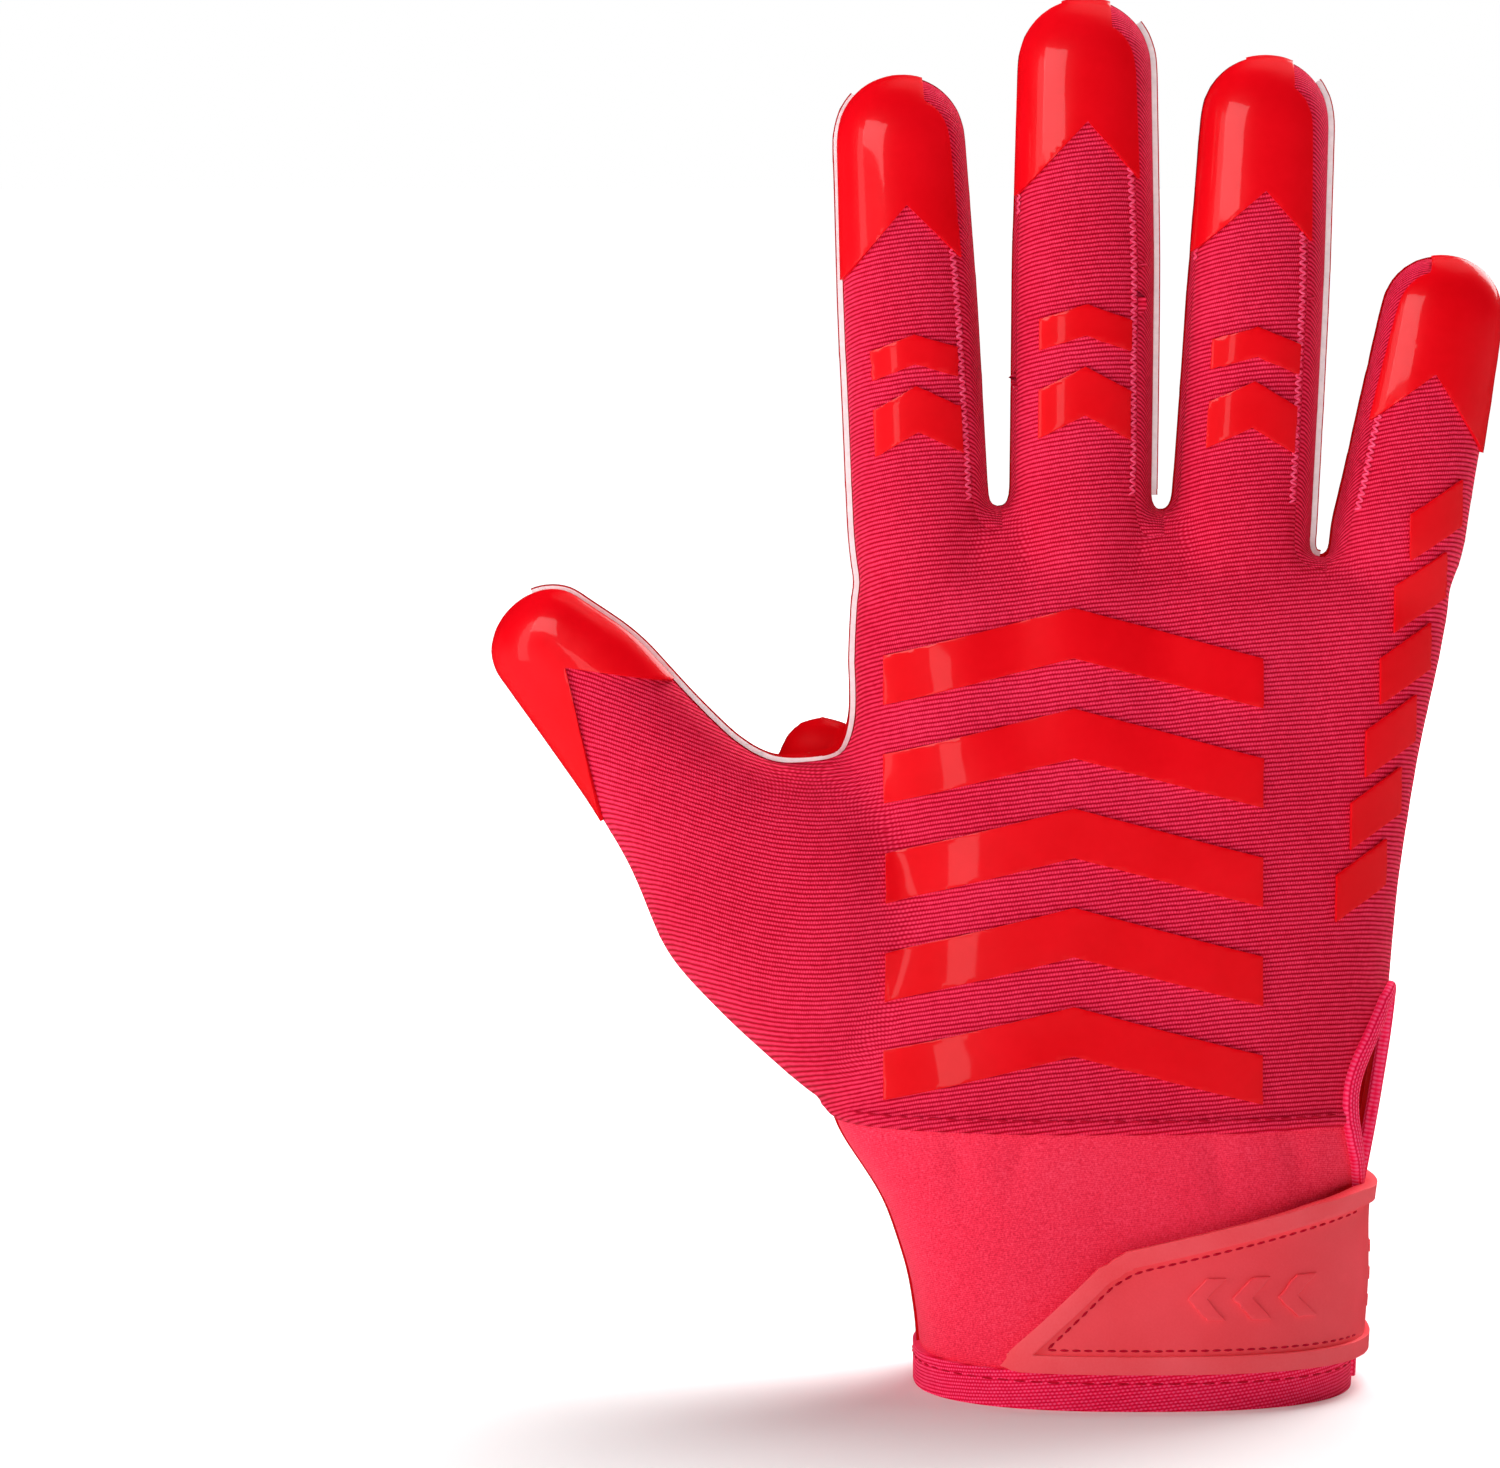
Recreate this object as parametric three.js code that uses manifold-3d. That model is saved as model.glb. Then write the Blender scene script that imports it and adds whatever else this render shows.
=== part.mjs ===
// Football receiver glove for the right hand, standing on its wrist opening as if a hand wore it.
// Millimetres. The origin is the centre of the wrist opening, +Z runs up the hand,
// +X points to the little-finger side, the back of the hand faces -Y and the palm +Y.

import * as THREE from 'three';
import { mergeVertices } from 'three/addons/utils/BufferGeometryUtils.js';
import Module from 'manifold-3d';

const wasm = await Module();
wasm.setup();

// Hand sizes, over the cloth
const wristWidth = 77;
const wristDepth = 56;
const palmDepth = 34;
const knuckleHeight = 150;
const knuckleShift = 4;
const fingerGap = 3.1;
const fingerCurl = 9;
const indexWidth = 23.9;
const indexLength = 83;
const middleWidth = 25.2;
const middleLength = 96.5;
const ringWidth = 24.2;
const ringLength = 86.5;
const littleWidth = 22.4;
const littleLength = 52;
const thumbWidth = 21;
const thumbLength = 85;
const thumbReach = 18;

// Cloth, trim and strap
const wall = 1.6;
const seamGap = 0.3;
const fourchetteWidth = 7;
const cuffHeight = 48;
const hemHeight = 6.7;
const tapeProud = 0.7;
const ventTop = 71;
const ventWidth = 8;
const slitWidth = 1.6;
const ventTapeWidth = 3.4;
const printThickness = 0.6;
const strapThickness = 1.6;
const strapRimHeight = 0.9;
const strapRimWidth = 3;
const strapLength = 64;
const strapHeight = 30;
const tabLength = 17;

// Directions, in degrees from straight up; the thumb's is from the level
const indexSplay = -3;
const middleSplay = 0.5;
const ringSplay = 3.3;
const littleSplay = 10.5;
const thumbRise = 44;

// Smoothness of the sections
const bodySides = 22;
const fingerSides = 12;
const domeSteps = 4;
const seamStep = 24;
const handRoundness = 2.5;
const fingerRoundness = 2.2;

// Fingers in order from the thumb side. Widths at the root are shares of the finger's width,
// cap and notch are shares of the width too, and crotch is the web's height over the knuckle
// line towards the next finger, as a share of the finger's width.
const fingers = [
  { name: 'index', width: indexWidth, length: indexLength, splay: indexSplay,
    flare: 1.02, cap: 1.5, notch: 0.55, crotch: 0.27 },
  { name: 'middle', width: middleWidth, length: middleLength, splay: middleSplay,
    flare: 1, cap: 1.42, notch: 0.56, crotch: 0.24 },
  { name: 'ring', width: ringWidth, length: ringLength, splay: ringSplay,
    flare: 1.04, cap: 1.48, notch: 0.5, crotch: -0.22 },
  { name: 'little', width: littleWidth, length: littleLength, splay: littleSplay,
    flare: 1.08, cap: 1.48, notch: 0.55, crotch: 0 },
];

// Finger sections: place along the length, then shares of the width and of the root's flare
const fingerSections = [
  { along: -0.5, wide: 0.64, deep: 0.64, flare: 1 },
  { along: 0, wide: 1, deep: 0.9, flare: 1 },
  { along: 0.28, wide: 1, deep: 0.86, flare: 0.44 },
  { along: 0.6, wide: 1, deep: 0.85, flare: 0 },
  { along: 1, wide: 0.94, deep: 0.78, flare: 0 },
];
const fingerDome = 0.47;

// Webs between fingers: drop under the crotch, depth and overlap in finger widths
const webSections = [
  { drop: 1, deep: 0.37 },
  { drop: 0.17, deep: 0.37 },
  { drop: 0, deep: 0.26 },
];
const webOverlap = 0.17;

// Fourchettes, in finger widths: the low end's drop under the crotch and the top end's distance
// from the tip, each with how far the strip reaches past the finger's axis towards the gap.
const fourchetteEnds = { drop: 0.5, lowInset: 0.25, fromTip: 0.6, topInset: 0.12 };

// Hand sections: place up the hand; left and right run from the wrist's edge at 0 to the
// knuckles' edge at 1, deep from the palm's depth at 0 to the wrist's at 1, and round narrows
// the section towards the knuckles.
const handSections = [
  { up: -0.04, left: 0, right: 0, deep: 1, round: 1 },
  { up: 0.06, left: 0, right: 0.03, deep: 0.98, round: 1 },
  { up: 0.13, left: 0.14, right: 0.07, deep: 0.86, round: 1 },
  { up: 0.22, left: 0.52, right: 0.06, deep: 0.68, round: 1 },
  { up: 0.32, left: 1.4, right: 0.2, deep: 0.52, round: 1 },
  { up: 0.44, left: 1.2, right: 0.34, deep: 0.36, round: 1 },
  { up: 0.6, left: 1, right: 0.43, deep: 0.16, round: 1 },
  { up: 0.75, left: 1, right: 0.6, deep: 0.04, round: 0.98 },
  { up: 0.87, left: 1, right: 0.8, deep: 0, round: 0.86 },
  { up: 0.95, left: 0.95, right: 0.9, deep: 0, round: 0.72 },
  { up: 0.985, left: 0.75, right: 0.7, deep: 0, round: 0.5 },
];

// Thumb sections fan out from the side of the hand. Top is the end towards the index finger and
// low the end towards the wrist, each with its place along the thumb's length and its distance
// from the thumb's axis in thumb widths; back and palm are half depths in thumb widths. The
// crotch towards the index finger lies at the top end of its own section.
const thumbSections = [
  { topAlong: -0.15, top: 1.2, lowAlong: -0.42, low: -0.7, back: 0.45, palm: 0.6 },
  { topAlong: 0.05, top: 1.35, lowAlong: -0.28, low: -1, back: 0.66, palm: 0.86 },
  { topAlong: 0.213, top: 1.226, lowAlong: -0.179, low: -1.186, back: 0.72, palm: 0.92 },
  { topAlong: 0.288, top: 0.992, lowAlong: 0.059, low: -1.233, back: 0.66, palm: 0.84 },
  { topAlong: 0.351, top: 0.709, lowAlong: 0.259, low: -1.211, back: 0.58, palm: 0.7, at: 'crotch' },
  { topAlong: 0.455, top: 0.538, lowAlong: 0.44, low: -0.872, back: 0.5, palm: 0.56 },
  { topAlong: 0.6, top: 0.537, lowAlong: 0.602, low: -0.703, back: 0.46, palm: 0.5 },
  { topAlong: 0.776, top: 0.581, lowAlong: 0.767, low: -0.582, back: 0.45, palm: 0.47 },
  { topAlong: 0.909, top: 0.472, lowAlong: 0.909, low: -0.481, back: 0.42, palm: 0.44 },
];
const thumbDome = 0.37;
const thumbCap = { tip: 0.66, top: 2.04, low: 2.22 };
const thumbRootHeight = 0.526 * knuckleHeight;

// The gusset's corners in thumb widths, from the hand's edge (out) and from the crotch (up)
const gussetCorners = [
  { from: 'hand', out: 0.1, up: -0.5 },
  { from: 'hand', out: -0.02, up: 0.4 },
  { from: 'crotch', out: -0.25, up: 0.4 },
  { from: 'crotch', out: -0.25, up: 0.02 },
];

// Strap outlines: along is the share of the patch's or tab's length from the wrist's edge, and
// up the share of the strap's height. Beyond the edge both run on round the side.
const patchOutline = [
  { along: 1, up: 0 },
  { along: -1, up: 0 },
  { along: -1, up: 1 },
  { along: 0.02, up: 1 },
  { along: 0.28, up: 0.87 },
  { along: 0.64, up: 0.7 },
  { along: 0.72, up: 0.6 },
];
const tabOutline = [
  { along: 0.86, up: 0 },
  { along: -2, up: 0 },
  { along: -2, up: 1 },
  { along: 0.05, up: 1 },
  { along: 0.9, up: 0.66 },
  { along: 1, up: 0.56 },
  { along: 1, up: 0.08 },
];
const tabRibs = { count: 3, low: 0.12, pitch: 0.16, tall: 0.07, lean: 0.14 };
const patchMarks = { count: 3, start: 0.14, pitch: 0.12, wide: 0.05, low: 0.3, tall: 0.24 };

// Glossy prints. Chevrons climb the back of the hand, as shares of the field between the cuff
// seam and the knuckles; bars lie on three fingers and slashes climb the little-finger side.
const chevronCount = 5;
const chevronField = { left: 0.05, right: 0.66, low: 0.05, high: 0.9 };
const chevronShape = { thick: 0.5, rise: 0.5 };
const barRows = [
  { along: 0.2, thick: 0.34 },
  { along: 0.36, thick: 0.22 },
];
const barWidth = 0.62;
const slashCount = 6;
const slashField = { lowX: 0.78, lowZ: 0.36, highX: 0.9, highZ: 0.98 };
const slashSize = { wide: 0.085, tall: 0.055, slant: 0.04 };

// Colours and finishes
const finishes = {
  knit: { color: 0xb80f38, roughness: 0.85 },
  palm: { color: 0xb3000c, roughness: 0.18 },
  cuff: { color: 0xd01a44, roughness: 0.8 },
  tape: { color: 0xb40c3c, roughness: 0.85 },
  print: { color: 0xe01018, roughness: 0.15 },
  strap: { color: 0xd8403e, roughness: 0.5 },
};

// Derived places
const radians = Math.PI / 180;
const knuckleSpan = fingers.reduce((sum, finger) => sum + finger.width * finger.flare, 0)
  + fingerGap * (fingers.length - 1);
const knuckleLeft = knuckleShift - knuckleSpan / 2;
const knuckleRight = knuckleShift + knuckleSpan / 2;
const wristEdge = wristWidth / 2;
const longestFinger = Math.max(...fingers.map((finger) => finger.length));
const reach = wristWidth + knuckleSpan + thumbLength + knuckleHeight + middleLength;
let rootEdge = knuckleLeft;
for (const finger of fingers) {
  const rootWidth = finger.width * finger.flare;
  finger.rootX = rootEdge + rootWidth / 2;
  rootEdge += rootWidth + fingerGap;
}

// Middle surface of the hand: the fingers curl and the thumb reaches towards the palm.
function middleY(x, z) {
  const fingerRise = Math.max(0, z - knuckleHeight) / middleLength;
  const thumbRun = Math.max(0, knuckleLeft - x) / thumbLength;
  return fingerCurl * fingerRise ** 2 + thumbReach * thumbRun ** 1.4;
}

function mix(from, to, share) {
  return from + (to - from) * share;
}

// Closed meshes and solids
function solidFrom(geometry) {
  const plain = geometry.clone();
  plain.deleteAttribute('normal');
  plain.deleteAttribute('uv');
  const merged = mergeVertices(plain, 1e-4);
  return new wasm.Manifold(new wasm.Mesh({
    numProp: 3,
    vertProperties: new Float32Array(merged.attributes.position.array),
    triVerts: new Uint32Array(merged.index.array),
  }));
}

function geometryFrom(solid) {
  const mesh = solid.getMesh();
  const points = [];
  for (let i = 0; i < mesh.vertProperties.length; i += mesh.numProp) {
    points.push(...mesh.vertProperties.slice(i, i + 3));
  }
  const geometry = new THREE.BufferGeometry();
  geometry.setAttribute('position', new THREE.Float32BufferAttribute(points, 3));
  geometry.setIndex([...mesh.triVerts]);
  geometry.computeVertexNormals();
  return geometry;
}

// A closed skin over rings of equal length, from the first ring's middle to the tip point.
function skinOver(rings, start, tip) {
  const sides = rings[0].length;
  const points = [start, ...rings.flat(), tip];
  const faces = [];
  const last = points.length - 1;
  for (let side = 0; side < sides; side += 1) {
    const next = (side + 1) % sides;
    faces.push(0, 1 + next, 1 + side);
    for (let row = 0; row < rings.length - 1; row += 1) {
      const low = 1 + row * sides;
      const high = low + sides;
      faces.push(low + side, low + next, high + next);
      faces.push(low + side, high + next, high + side);
    }
    const top = 1 + (rings.length - 1) * sides;
    faces.push(top + side, top + next, last);
  }
  const geometry = new THREE.BufferGeometry();
  geometry.setAttribute('position', new THREE.Float32BufferAttribute(
    points.flatMap((point) => point.toArray()), 3));
  geometry.setIndex(faces);
  return solidFrom(geometry);
}

// One section: a rounded oval across the limb, with its own depths to the back and the palm.
function ovalRing(station, grow, shrink, lift, sides, power) {
  const points = [];
  for (let side = 0; side < sides; side += 1) {
    const angle = (side / sides) * 2 * Math.PI;
    const cos = Math.cos(angle);
    const sin = Math.sin(angle);
    const wide = Math.sign(cos) * Math.abs(cos) ** (2 / power) * (station.half + grow);
    const depth = (sin < 0 ? station.back : station.palm) + grow;
    const deep = Math.sign(sin) * Math.abs(sin) ** (2 / power) * depth;
    points.push(station.centre.clone()
      .addScaledVector(station.across, wide * shrink)
      .addScaledVector(station.along, lift)
      .add(new THREE.Vector3(0, deep * shrink, 0)));
  }
  return points;
}

// A limb through its stations, closed by a dome at the end, or nearly flat without a dome.
function limb(stations, domeHeight, grow, sides, power) {
  const end = stations[stations.length - 1];
  const rings = stations.slice(0, -1).map((station) => ovalRing(station, grow, 1, 0, sides, power));
  rings.push(ovalRing(end, grow, 1, domeHeight > 0 ? 0 : grow, sides, power));
  for (let step = 1; domeHeight > 0 && step < domeSteps; step += 1) {
    const angle = (step / domeSteps) * Math.PI / 2;
    const lift = (domeHeight + grow) * Math.sin(angle);
    rings.push(ovalRing(end, grow, Math.cos(angle), lift, sides, power));
  }
  const tip = end.centre.clone().addScaledVector(end.along, domeHeight + grow);
  return skinOver(rings, stations[0].centre, tip);
}

function fingerFrame(finger) {
  const angle = finger.splay * radians;
  return {
    along: new THREE.Vector3(Math.sin(angle), 0, Math.cos(angle)),
    across: new THREE.Vector3(Math.cos(angle), 0, -Math.sin(angle)),
    root: new THREE.Vector3(finger.rootX, 0, knuckleHeight),
  };
}

function fingerLimb(finger, grow) {
  const frame = fingerFrame(finger);
  const dome = fingerDome * finger.width;
  const straight = finger.length - dome;
  const stations = fingerSections.map((row) => {
    const centre = frame.root.clone().addScaledVector(frame.along, row.along * straight);
    centre.y = middleY(centre.x, centre.z);
    const half = row.wide * mix(1, finger.flare, row.flare) * finger.width / 2;
    const depth = row.deep * finger.width / 2;
    return { ...frame, centre, half, back: depth, palm: depth };
  });
  return limb(stations, dome, grow, fingerSides, fingerRoundness);
}

const up = new THREE.Vector3(0, 0, 1);
const sideways = new THREE.Vector3(1, 0, 0);

function handLimb(grow) {
  const stations = handSections.map((row) => {
    const left = mix(-wristEdge, knuckleLeft, row.left);
    const right = mix(wristEdge, knuckleRight, row.right);
    const depth = row.round * mix(palmDepth, wristDepth, row.deep) / 2;
    return {
      centre: new THREE.Vector3((left + right) / 2, 0, row.up * knuckleHeight),
      across: sideways,
      along: up,
      half: (right - left) / 2,
      back: depth,
      palm: depth,
    };
  });
  return limb(stations, 0, grow, bodySides, handRoundness);
}

const thumbAlong = new THREE.Vector3(-Math.cos(thumbRise * radians), 0, Math.sin(thumbRise * radians));
const thumbAcross = new THREE.Vector3(thumbAlong.z, 0, -thumbAlong.x);
const thumbRoot = new THREE.Vector3(knuckleLeft, 0, thumbRootHeight);

function thumbPoint(along, across) {
  return thumbRoot.clone()
    .addScaledVector(thumbAlong, along * thumbLength)
    .addScaledVector(thumbAcross, across * thumbWidth);
}

function thumbLimb(grow) {
  const stations = thumbSections.map((row) => {
    const top = thumbPoint(row.topAlong, row.top);
    const low = thumbPoint(row.lowAlong, row.low);
    const centre = top.clone().add(low).multiplyScalar(0.5);
    centre.y = middleY(centre.x, centre.z);
    const across = top.clone().sub(low);
    const half = across.length() / 2;
    return {
      centre,
      across: across.normalize(),
      along: thumbAlong,
      half,
      back: row.back * thumbWidth,
      palm: row.palm * thumbWidth,
    };
  });
  return limb(stations, thumbDome * thumbWidth, grow, fingerSides, fingerRoundness);
}

// The web between two neighbours, level with their crotch.
function webLimb(finger, next, grow) {
  const left = finger.rootX + finger.width * finger.flare / 2;
  const right = next.rootX - next.width * next.flare / 2;
  const crotch = knuckleHeight + finger.crotch * finger.width;
  const stations = webSections.map((row) => {
    const z = crotch - row.drop * finger.width;
    return {
      centre: new THREE.Vector3((left + right) / 2, middleY(0, z), z),
      across: sideways,
      along: up,
      half: (right - left) / 2 + webOverlap * finger.width,
      back: row.deep * finger.width,
      palm: row.deep * finger.width,
    };
  });
  return limb(stations, 0, grow, fingerSides, fingerRoundness);
}

// The whole hand at a distance from the cloth's outer face; a negative one goes inwards.
function handForm(grow) {
  let form = handLimb(grow).add(thumbLimb(grow));
  fingers.forEach((finger, index) => {
    form = form.add(fingerLimb(finger, grow));
    if (index < fingers.length - 1) {
      form = form.add(webLimb(finger, fingers[index + 1], grow));
    }
  });
  return form;
}

// Cutting solids
// A block between two copies of the middle surface, moved along y.
function layer(fromY, toY) {
  const startX = knuckleLeft - thumbLength - thumbWidth;
  const startZ = -seamStep;
  const columns = Math.ceil((knuckleRight + littleLength - startX) / seamStep);
  const rows = Math.ceil((knuckleHeight + longestFinger * 1.2 - startZ) / seamStep);
  const points = [];
  for (const shift of [fromY, toY]) {
    for (let row = 0; row <= rows; row += 1) {
      for (let column = 0; column <= columns; column += 1) {
        const x = startX + column * seamStep;
        const z = startZ + row * seamStep;
        points.push(x, middleY(x, z) + shift, z);
      }
    }
  }
  const at = (side, row, column) => side * (rows + 1) * (columns + 1) + row * (columns + 1) + column;
  const faces = [];
  const quad = (a, b, c, d) => faces.push(a, b, c, a, c, d);
  for (let row = 0; row < rows; row += 1) {
    for (let column = 0; column < columns; column += 1) {
      quad(at(0, row, column), at(0, row, column + 1), at(0, row + 1, column + 1), at(0, row + 1, column));
      quad(at(1, row, column), at(1, row + 1, column), at(1, row + 1, column + 1), at(1, row, column + 1));
    }
    quad(at(0, row, 0), at(0, row + 1, 0), at(1, row + 1, 0), at(1, row, 0));
    quad(at(0, row, columns), at(1, row, columns), at(1, row + 1, columns), at(0, row + 1, columns));
  }
  for (let column = 0; column < columns; column += 1) {
    quad(at(0, 0, column), at(1, 0, column), at(1, 0, column + 1), at(0, 0, column + 1));
    quad(at(0, rows, column), at(0, rows, column + 1), at(1, rows, column + 1), at(1, rows, column));
  }
  const geometry = new THREE.BufferGeometry();
  geometry.setAttribute('position', new THREE.Float32BufferAttribute(points, 3));
  geometry.setIndex(faces);
  return solidFrom(geometry);
}

// A prism along y over an outline given as [x, z] pairs.
function prismAlongY(outline) {
  const shape = new THREE.Shape(outline.map(([x, z]) => new THREE.Vector2(x, z)));
  const geometry = new THREE.ExtrudeGeometry(shape, { depth: reach, bevelEnabled: false });
  geometry.translate(0, 0, -reach / 2);
  geometry.rotateX(Math.PI / 2);
  return solidFrom(geometry);
}

// A prism along +x from the middle of the wrist, over an outline given as [y, z] pairs.
function prismAlongX(outline) {
  const shape = new THREE.Shape(outline.map(([y, z]) => new THREE.Vector2(y, z)));
  const geometry = new THREE.ExtrudeGeometry(shape, { depth: reach / 2, bevelEnabled: false });
  const axes = new THREE.Matrix4().makeBasis(new THREE.Vector3(0, 1, 0), up, sideways);
  geometry.applyMatrix4(axes);
  return solidFrom(geometry);
}

function levels(low, high) {
  return prismAlongY([[-reach, low], [reach, low], [reach, high], [-reach, high]]);
}

// Moves each edge of a counter-clockwise outline inwards.
function insetOutline(outline, distance) {
  const count = outline.length;
  return outline.map((corner, index) => {
    const point = new THREE.Vector2(...corner);
    const before = new THREE.Vector2(...outline[(index + count - 1) % count]);
    const after = new THREE.Vector2(...outline[(index + 1) % count]);
    const into = point.clone().sub(before).normalize();
    const away = after.clone().sub(point).normalize();
    const intoSide = new THREE.Vector2(-into.y, into.x);
    const awaySide = new THREE.Vector2(-away.y, away.x);
    const turn = intoSide.clone().add(awaySide);
    const scale = distance * 2 / turn.lengthSq();
    return [point.x + turn.x * scale, point.y + turn.y * scale];
  });
}

// Shared layers of the glove
const outerForm = handForm(0);
const innerForm = handForm(-wall);
const cloth = outerForm.subtract(innerForm);
const printShell = handForm(seamGap + printThickness).subtract(handForm(seamGap));
const backSide = layer(-reach / 2, -seamGap / 2);
const palmSide = layer(seamGap / 2, reach / 2);
const overHem = levels(hemHeight + seamGap, reach);

// Side slit in the back, beside the palm's edge: a narrow slot up from the hem that opens to a lens
// and closes at its top. Its palm edge is straight, and its other edge bows towards the back.
const ventLow = cuffHeight * 0.75;

function ventOutline(margin, floor) {
  const steps = 6;
  const palmEdge = margin - ventTapeWidth - seamGap / 2;
  const slitEdge = -ventTapeWidth - seamGap / 2;
  const bow = [[slitEdge - slitWidth - margin, floor]];
  for (let step = 0; step < steps; step += 1) {
    const share = step / steps;
    const open = mix(slitWidth, ventWidth, Math.sin(Math.PI * share));
    bow.push([slitEdge - open - margin, mix(ventLow, ventTop, share)]);
  }
  const topHalf = (slitWidth / 2 + margin) * 0.6;
  const topMiddle = slitEdge - slitWidth / 2;
  bow.push([topMiddle - topHalf, ventTop + margin], [topMiddle + topHalf, ventTop + margin]);
  const palmTop = mix(ventLow, ventTop, (steps - 1) / steps);
  return [[palmEdge, floor], [palmEdge, palmTop], ...bow.reverse()];
}

const ventSlot = prismAlongX(ventOutline(0, -seamStep));
const ventBand = prismAlongX(ventOutline(ventTapeWidth, -seamStep));
const ventRoom = prismAlongX(ventOutline(ventTapeWidth + seamGap, -seamStep));

// Fourchettes: the strips between two fingers, from below their crotch to the shorter one's dome.
// They lie on the back half of the fingers' sides, because the palm runs up to the middle surface.
function fourchetteOutline(finger, next, margin) {
  const low = knuckleHeight + (finger.crotch - fourchetteEnds.drop) * finger.width - margin;
  const edges = [{ owner: finger, side: 1 }, { owner: next, side: -1 }].map(({ owner, side }) => {
    const frame = fingerFrame(owner);
    const inset = side * (fourchetteEnds.topInset * owner.width - margin);
    const top = frame.root.clone()
      .addScaledVector(frame.along, owner.length - owner.width * fourchetteEnds.fromTip)
      .addScaledVector(frame.across, inset);
    const lowX = owner.rootX + side * (fourchetteEnds.lowInset * owner.width - margin);
    return { lowX, top };
  });
  const shorter = Math.min(edges[0].top.z, edges[1].top.z) + margin;
  const [leftTop, rightTop] = edges.map(({ lowX, top }) => (
    [mix(lowX, top.x, (shorter - low) / (top.z - low)), shorter]));
  return [[edges[0].lowX, low], [edges[1].lowX, low], rightTop, leftTop];
}

const parts = [];

function addPart(name, solid, finish) {
  const { color, roughness } = finishes[finish];
  const material = new THREE.MeshStandardMaterial({ color, roughness, metalness: 0 });
  const mesh = new THREE.Mesh(geometryFrom(solid), material);
  mesh.name = name;
  parts.push(mesh);
}

function makePanels() {
  const stripBack = -seamGap / 2 - fourchetteWidth;
  const strip = layer(stripBack, -seamGap / 2);
  const stripRoom = layer(stripBack - seamGap, 0);
  let shell = cloth.subtract(ventRoom).intersect(overHem);
  for (let index = 0; index < fingers.length - 1; index += 1) {
    const [finger, next] = [fingers[index], fingers[index + 1]];
    const piece = cloth.intersect(strip.intersect(prismAlongY(fourchetteOutline(finger, next, 0))));
    addPart(`fourchette_${finger.name}_${next.name}`, piece, 'knit');
    const room = stripRoom.intersect(prismAlongY(fourchetteOutline(finger, next, seamGap)));
    shell = shell.subtract(room);
  }
  const back = shell.intersect(backSide);
  addPart('back_panel', back.intersect(levels(cuffHeight + seamGap / 2, reach)), 'knit');
  addPart('cuff_panel', back.intersect(levels(0, cuffHeight - seamGap / 2)), 'cuff');
  const web = thumbSections.find((row) => row.at === 'crotch');
  const crotch = thumbPoint(web.topAlong, web.top);
  const gusset = gussetCorners.map((corner) => [
    (corner.from === 'hand' ? knuckleLeft : crotch.x) + corner.out * thumbWidth,
    crotch.z + corner.up * thumbWidth,
  ]);
  const palm = shell.intersect(palmSide);
  addPart('palm_panel', palm.subtract(prismAlongY(insetOutline(gusset, -seamGap))), 'palm');
  addPart('thumb_gusset', palm.intersect(prismAlongY(gusset)), 'knit');
}

function makeBindings() {
  const tape = handForm(tapeProud).subtract(handForm(-wall - tapeProud));
  addPart('hem_binding', tape.intersect(levels(0, hemHeight)).subtract(ventSlot), 'tape');
  const ring = ventBand.subtract(ventSlot).intersect(overHem);
  addPart('vent_binding', tape.intersect(ring), 'tape');
}

function makeCaps() {
  for (const finger of fingers) {
    const frame = fingerFrame(finger);
    const at = (across, fromTip) => {
      const point = frame.root.clone()
        .addScaledVector(frame.across, across * finger.width)
        .addScaledVector(frame.along, finger.length - fromTip * finger.width);
      return [point.x, point.z];
    };
    const outline = [
      at(-1, finger.cap + finger.notch), at(0, finger.cap - finger.notch),
      at(1, finger.cap + finger.notch), at(1, -1), at(-1, -1),
    ];
    const skin = fingerLimb(finger, seamGap + printThickness).subtract(fingerLimb(finger, seamGap));
    addPart(`cap_${finger.name}`, skin.intersect(backSide).intersect(prismAlongY(outline)), 'print');
  }
  const at = (across, fromTip) => {
    const point = thumbPoint(1, across).addScaledVector(thumbAlong, -fromTip * thumbWidth);
    return [point.x, point.z];
  };
  const outline = [
    at(-1, thumbCap.low), at(0, thumbCap.tip), at(1, thumbCap.top), at(1, -1), at(-1, -1),
  ];
  const skin = thumbLimb(seamGap + printThickness).subtract(thumbLimb(seamGap));
  addPart('cap_thumb', skin.intersect(backSide).intersect(prismAlongY(outline)), 'print');
}

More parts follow.
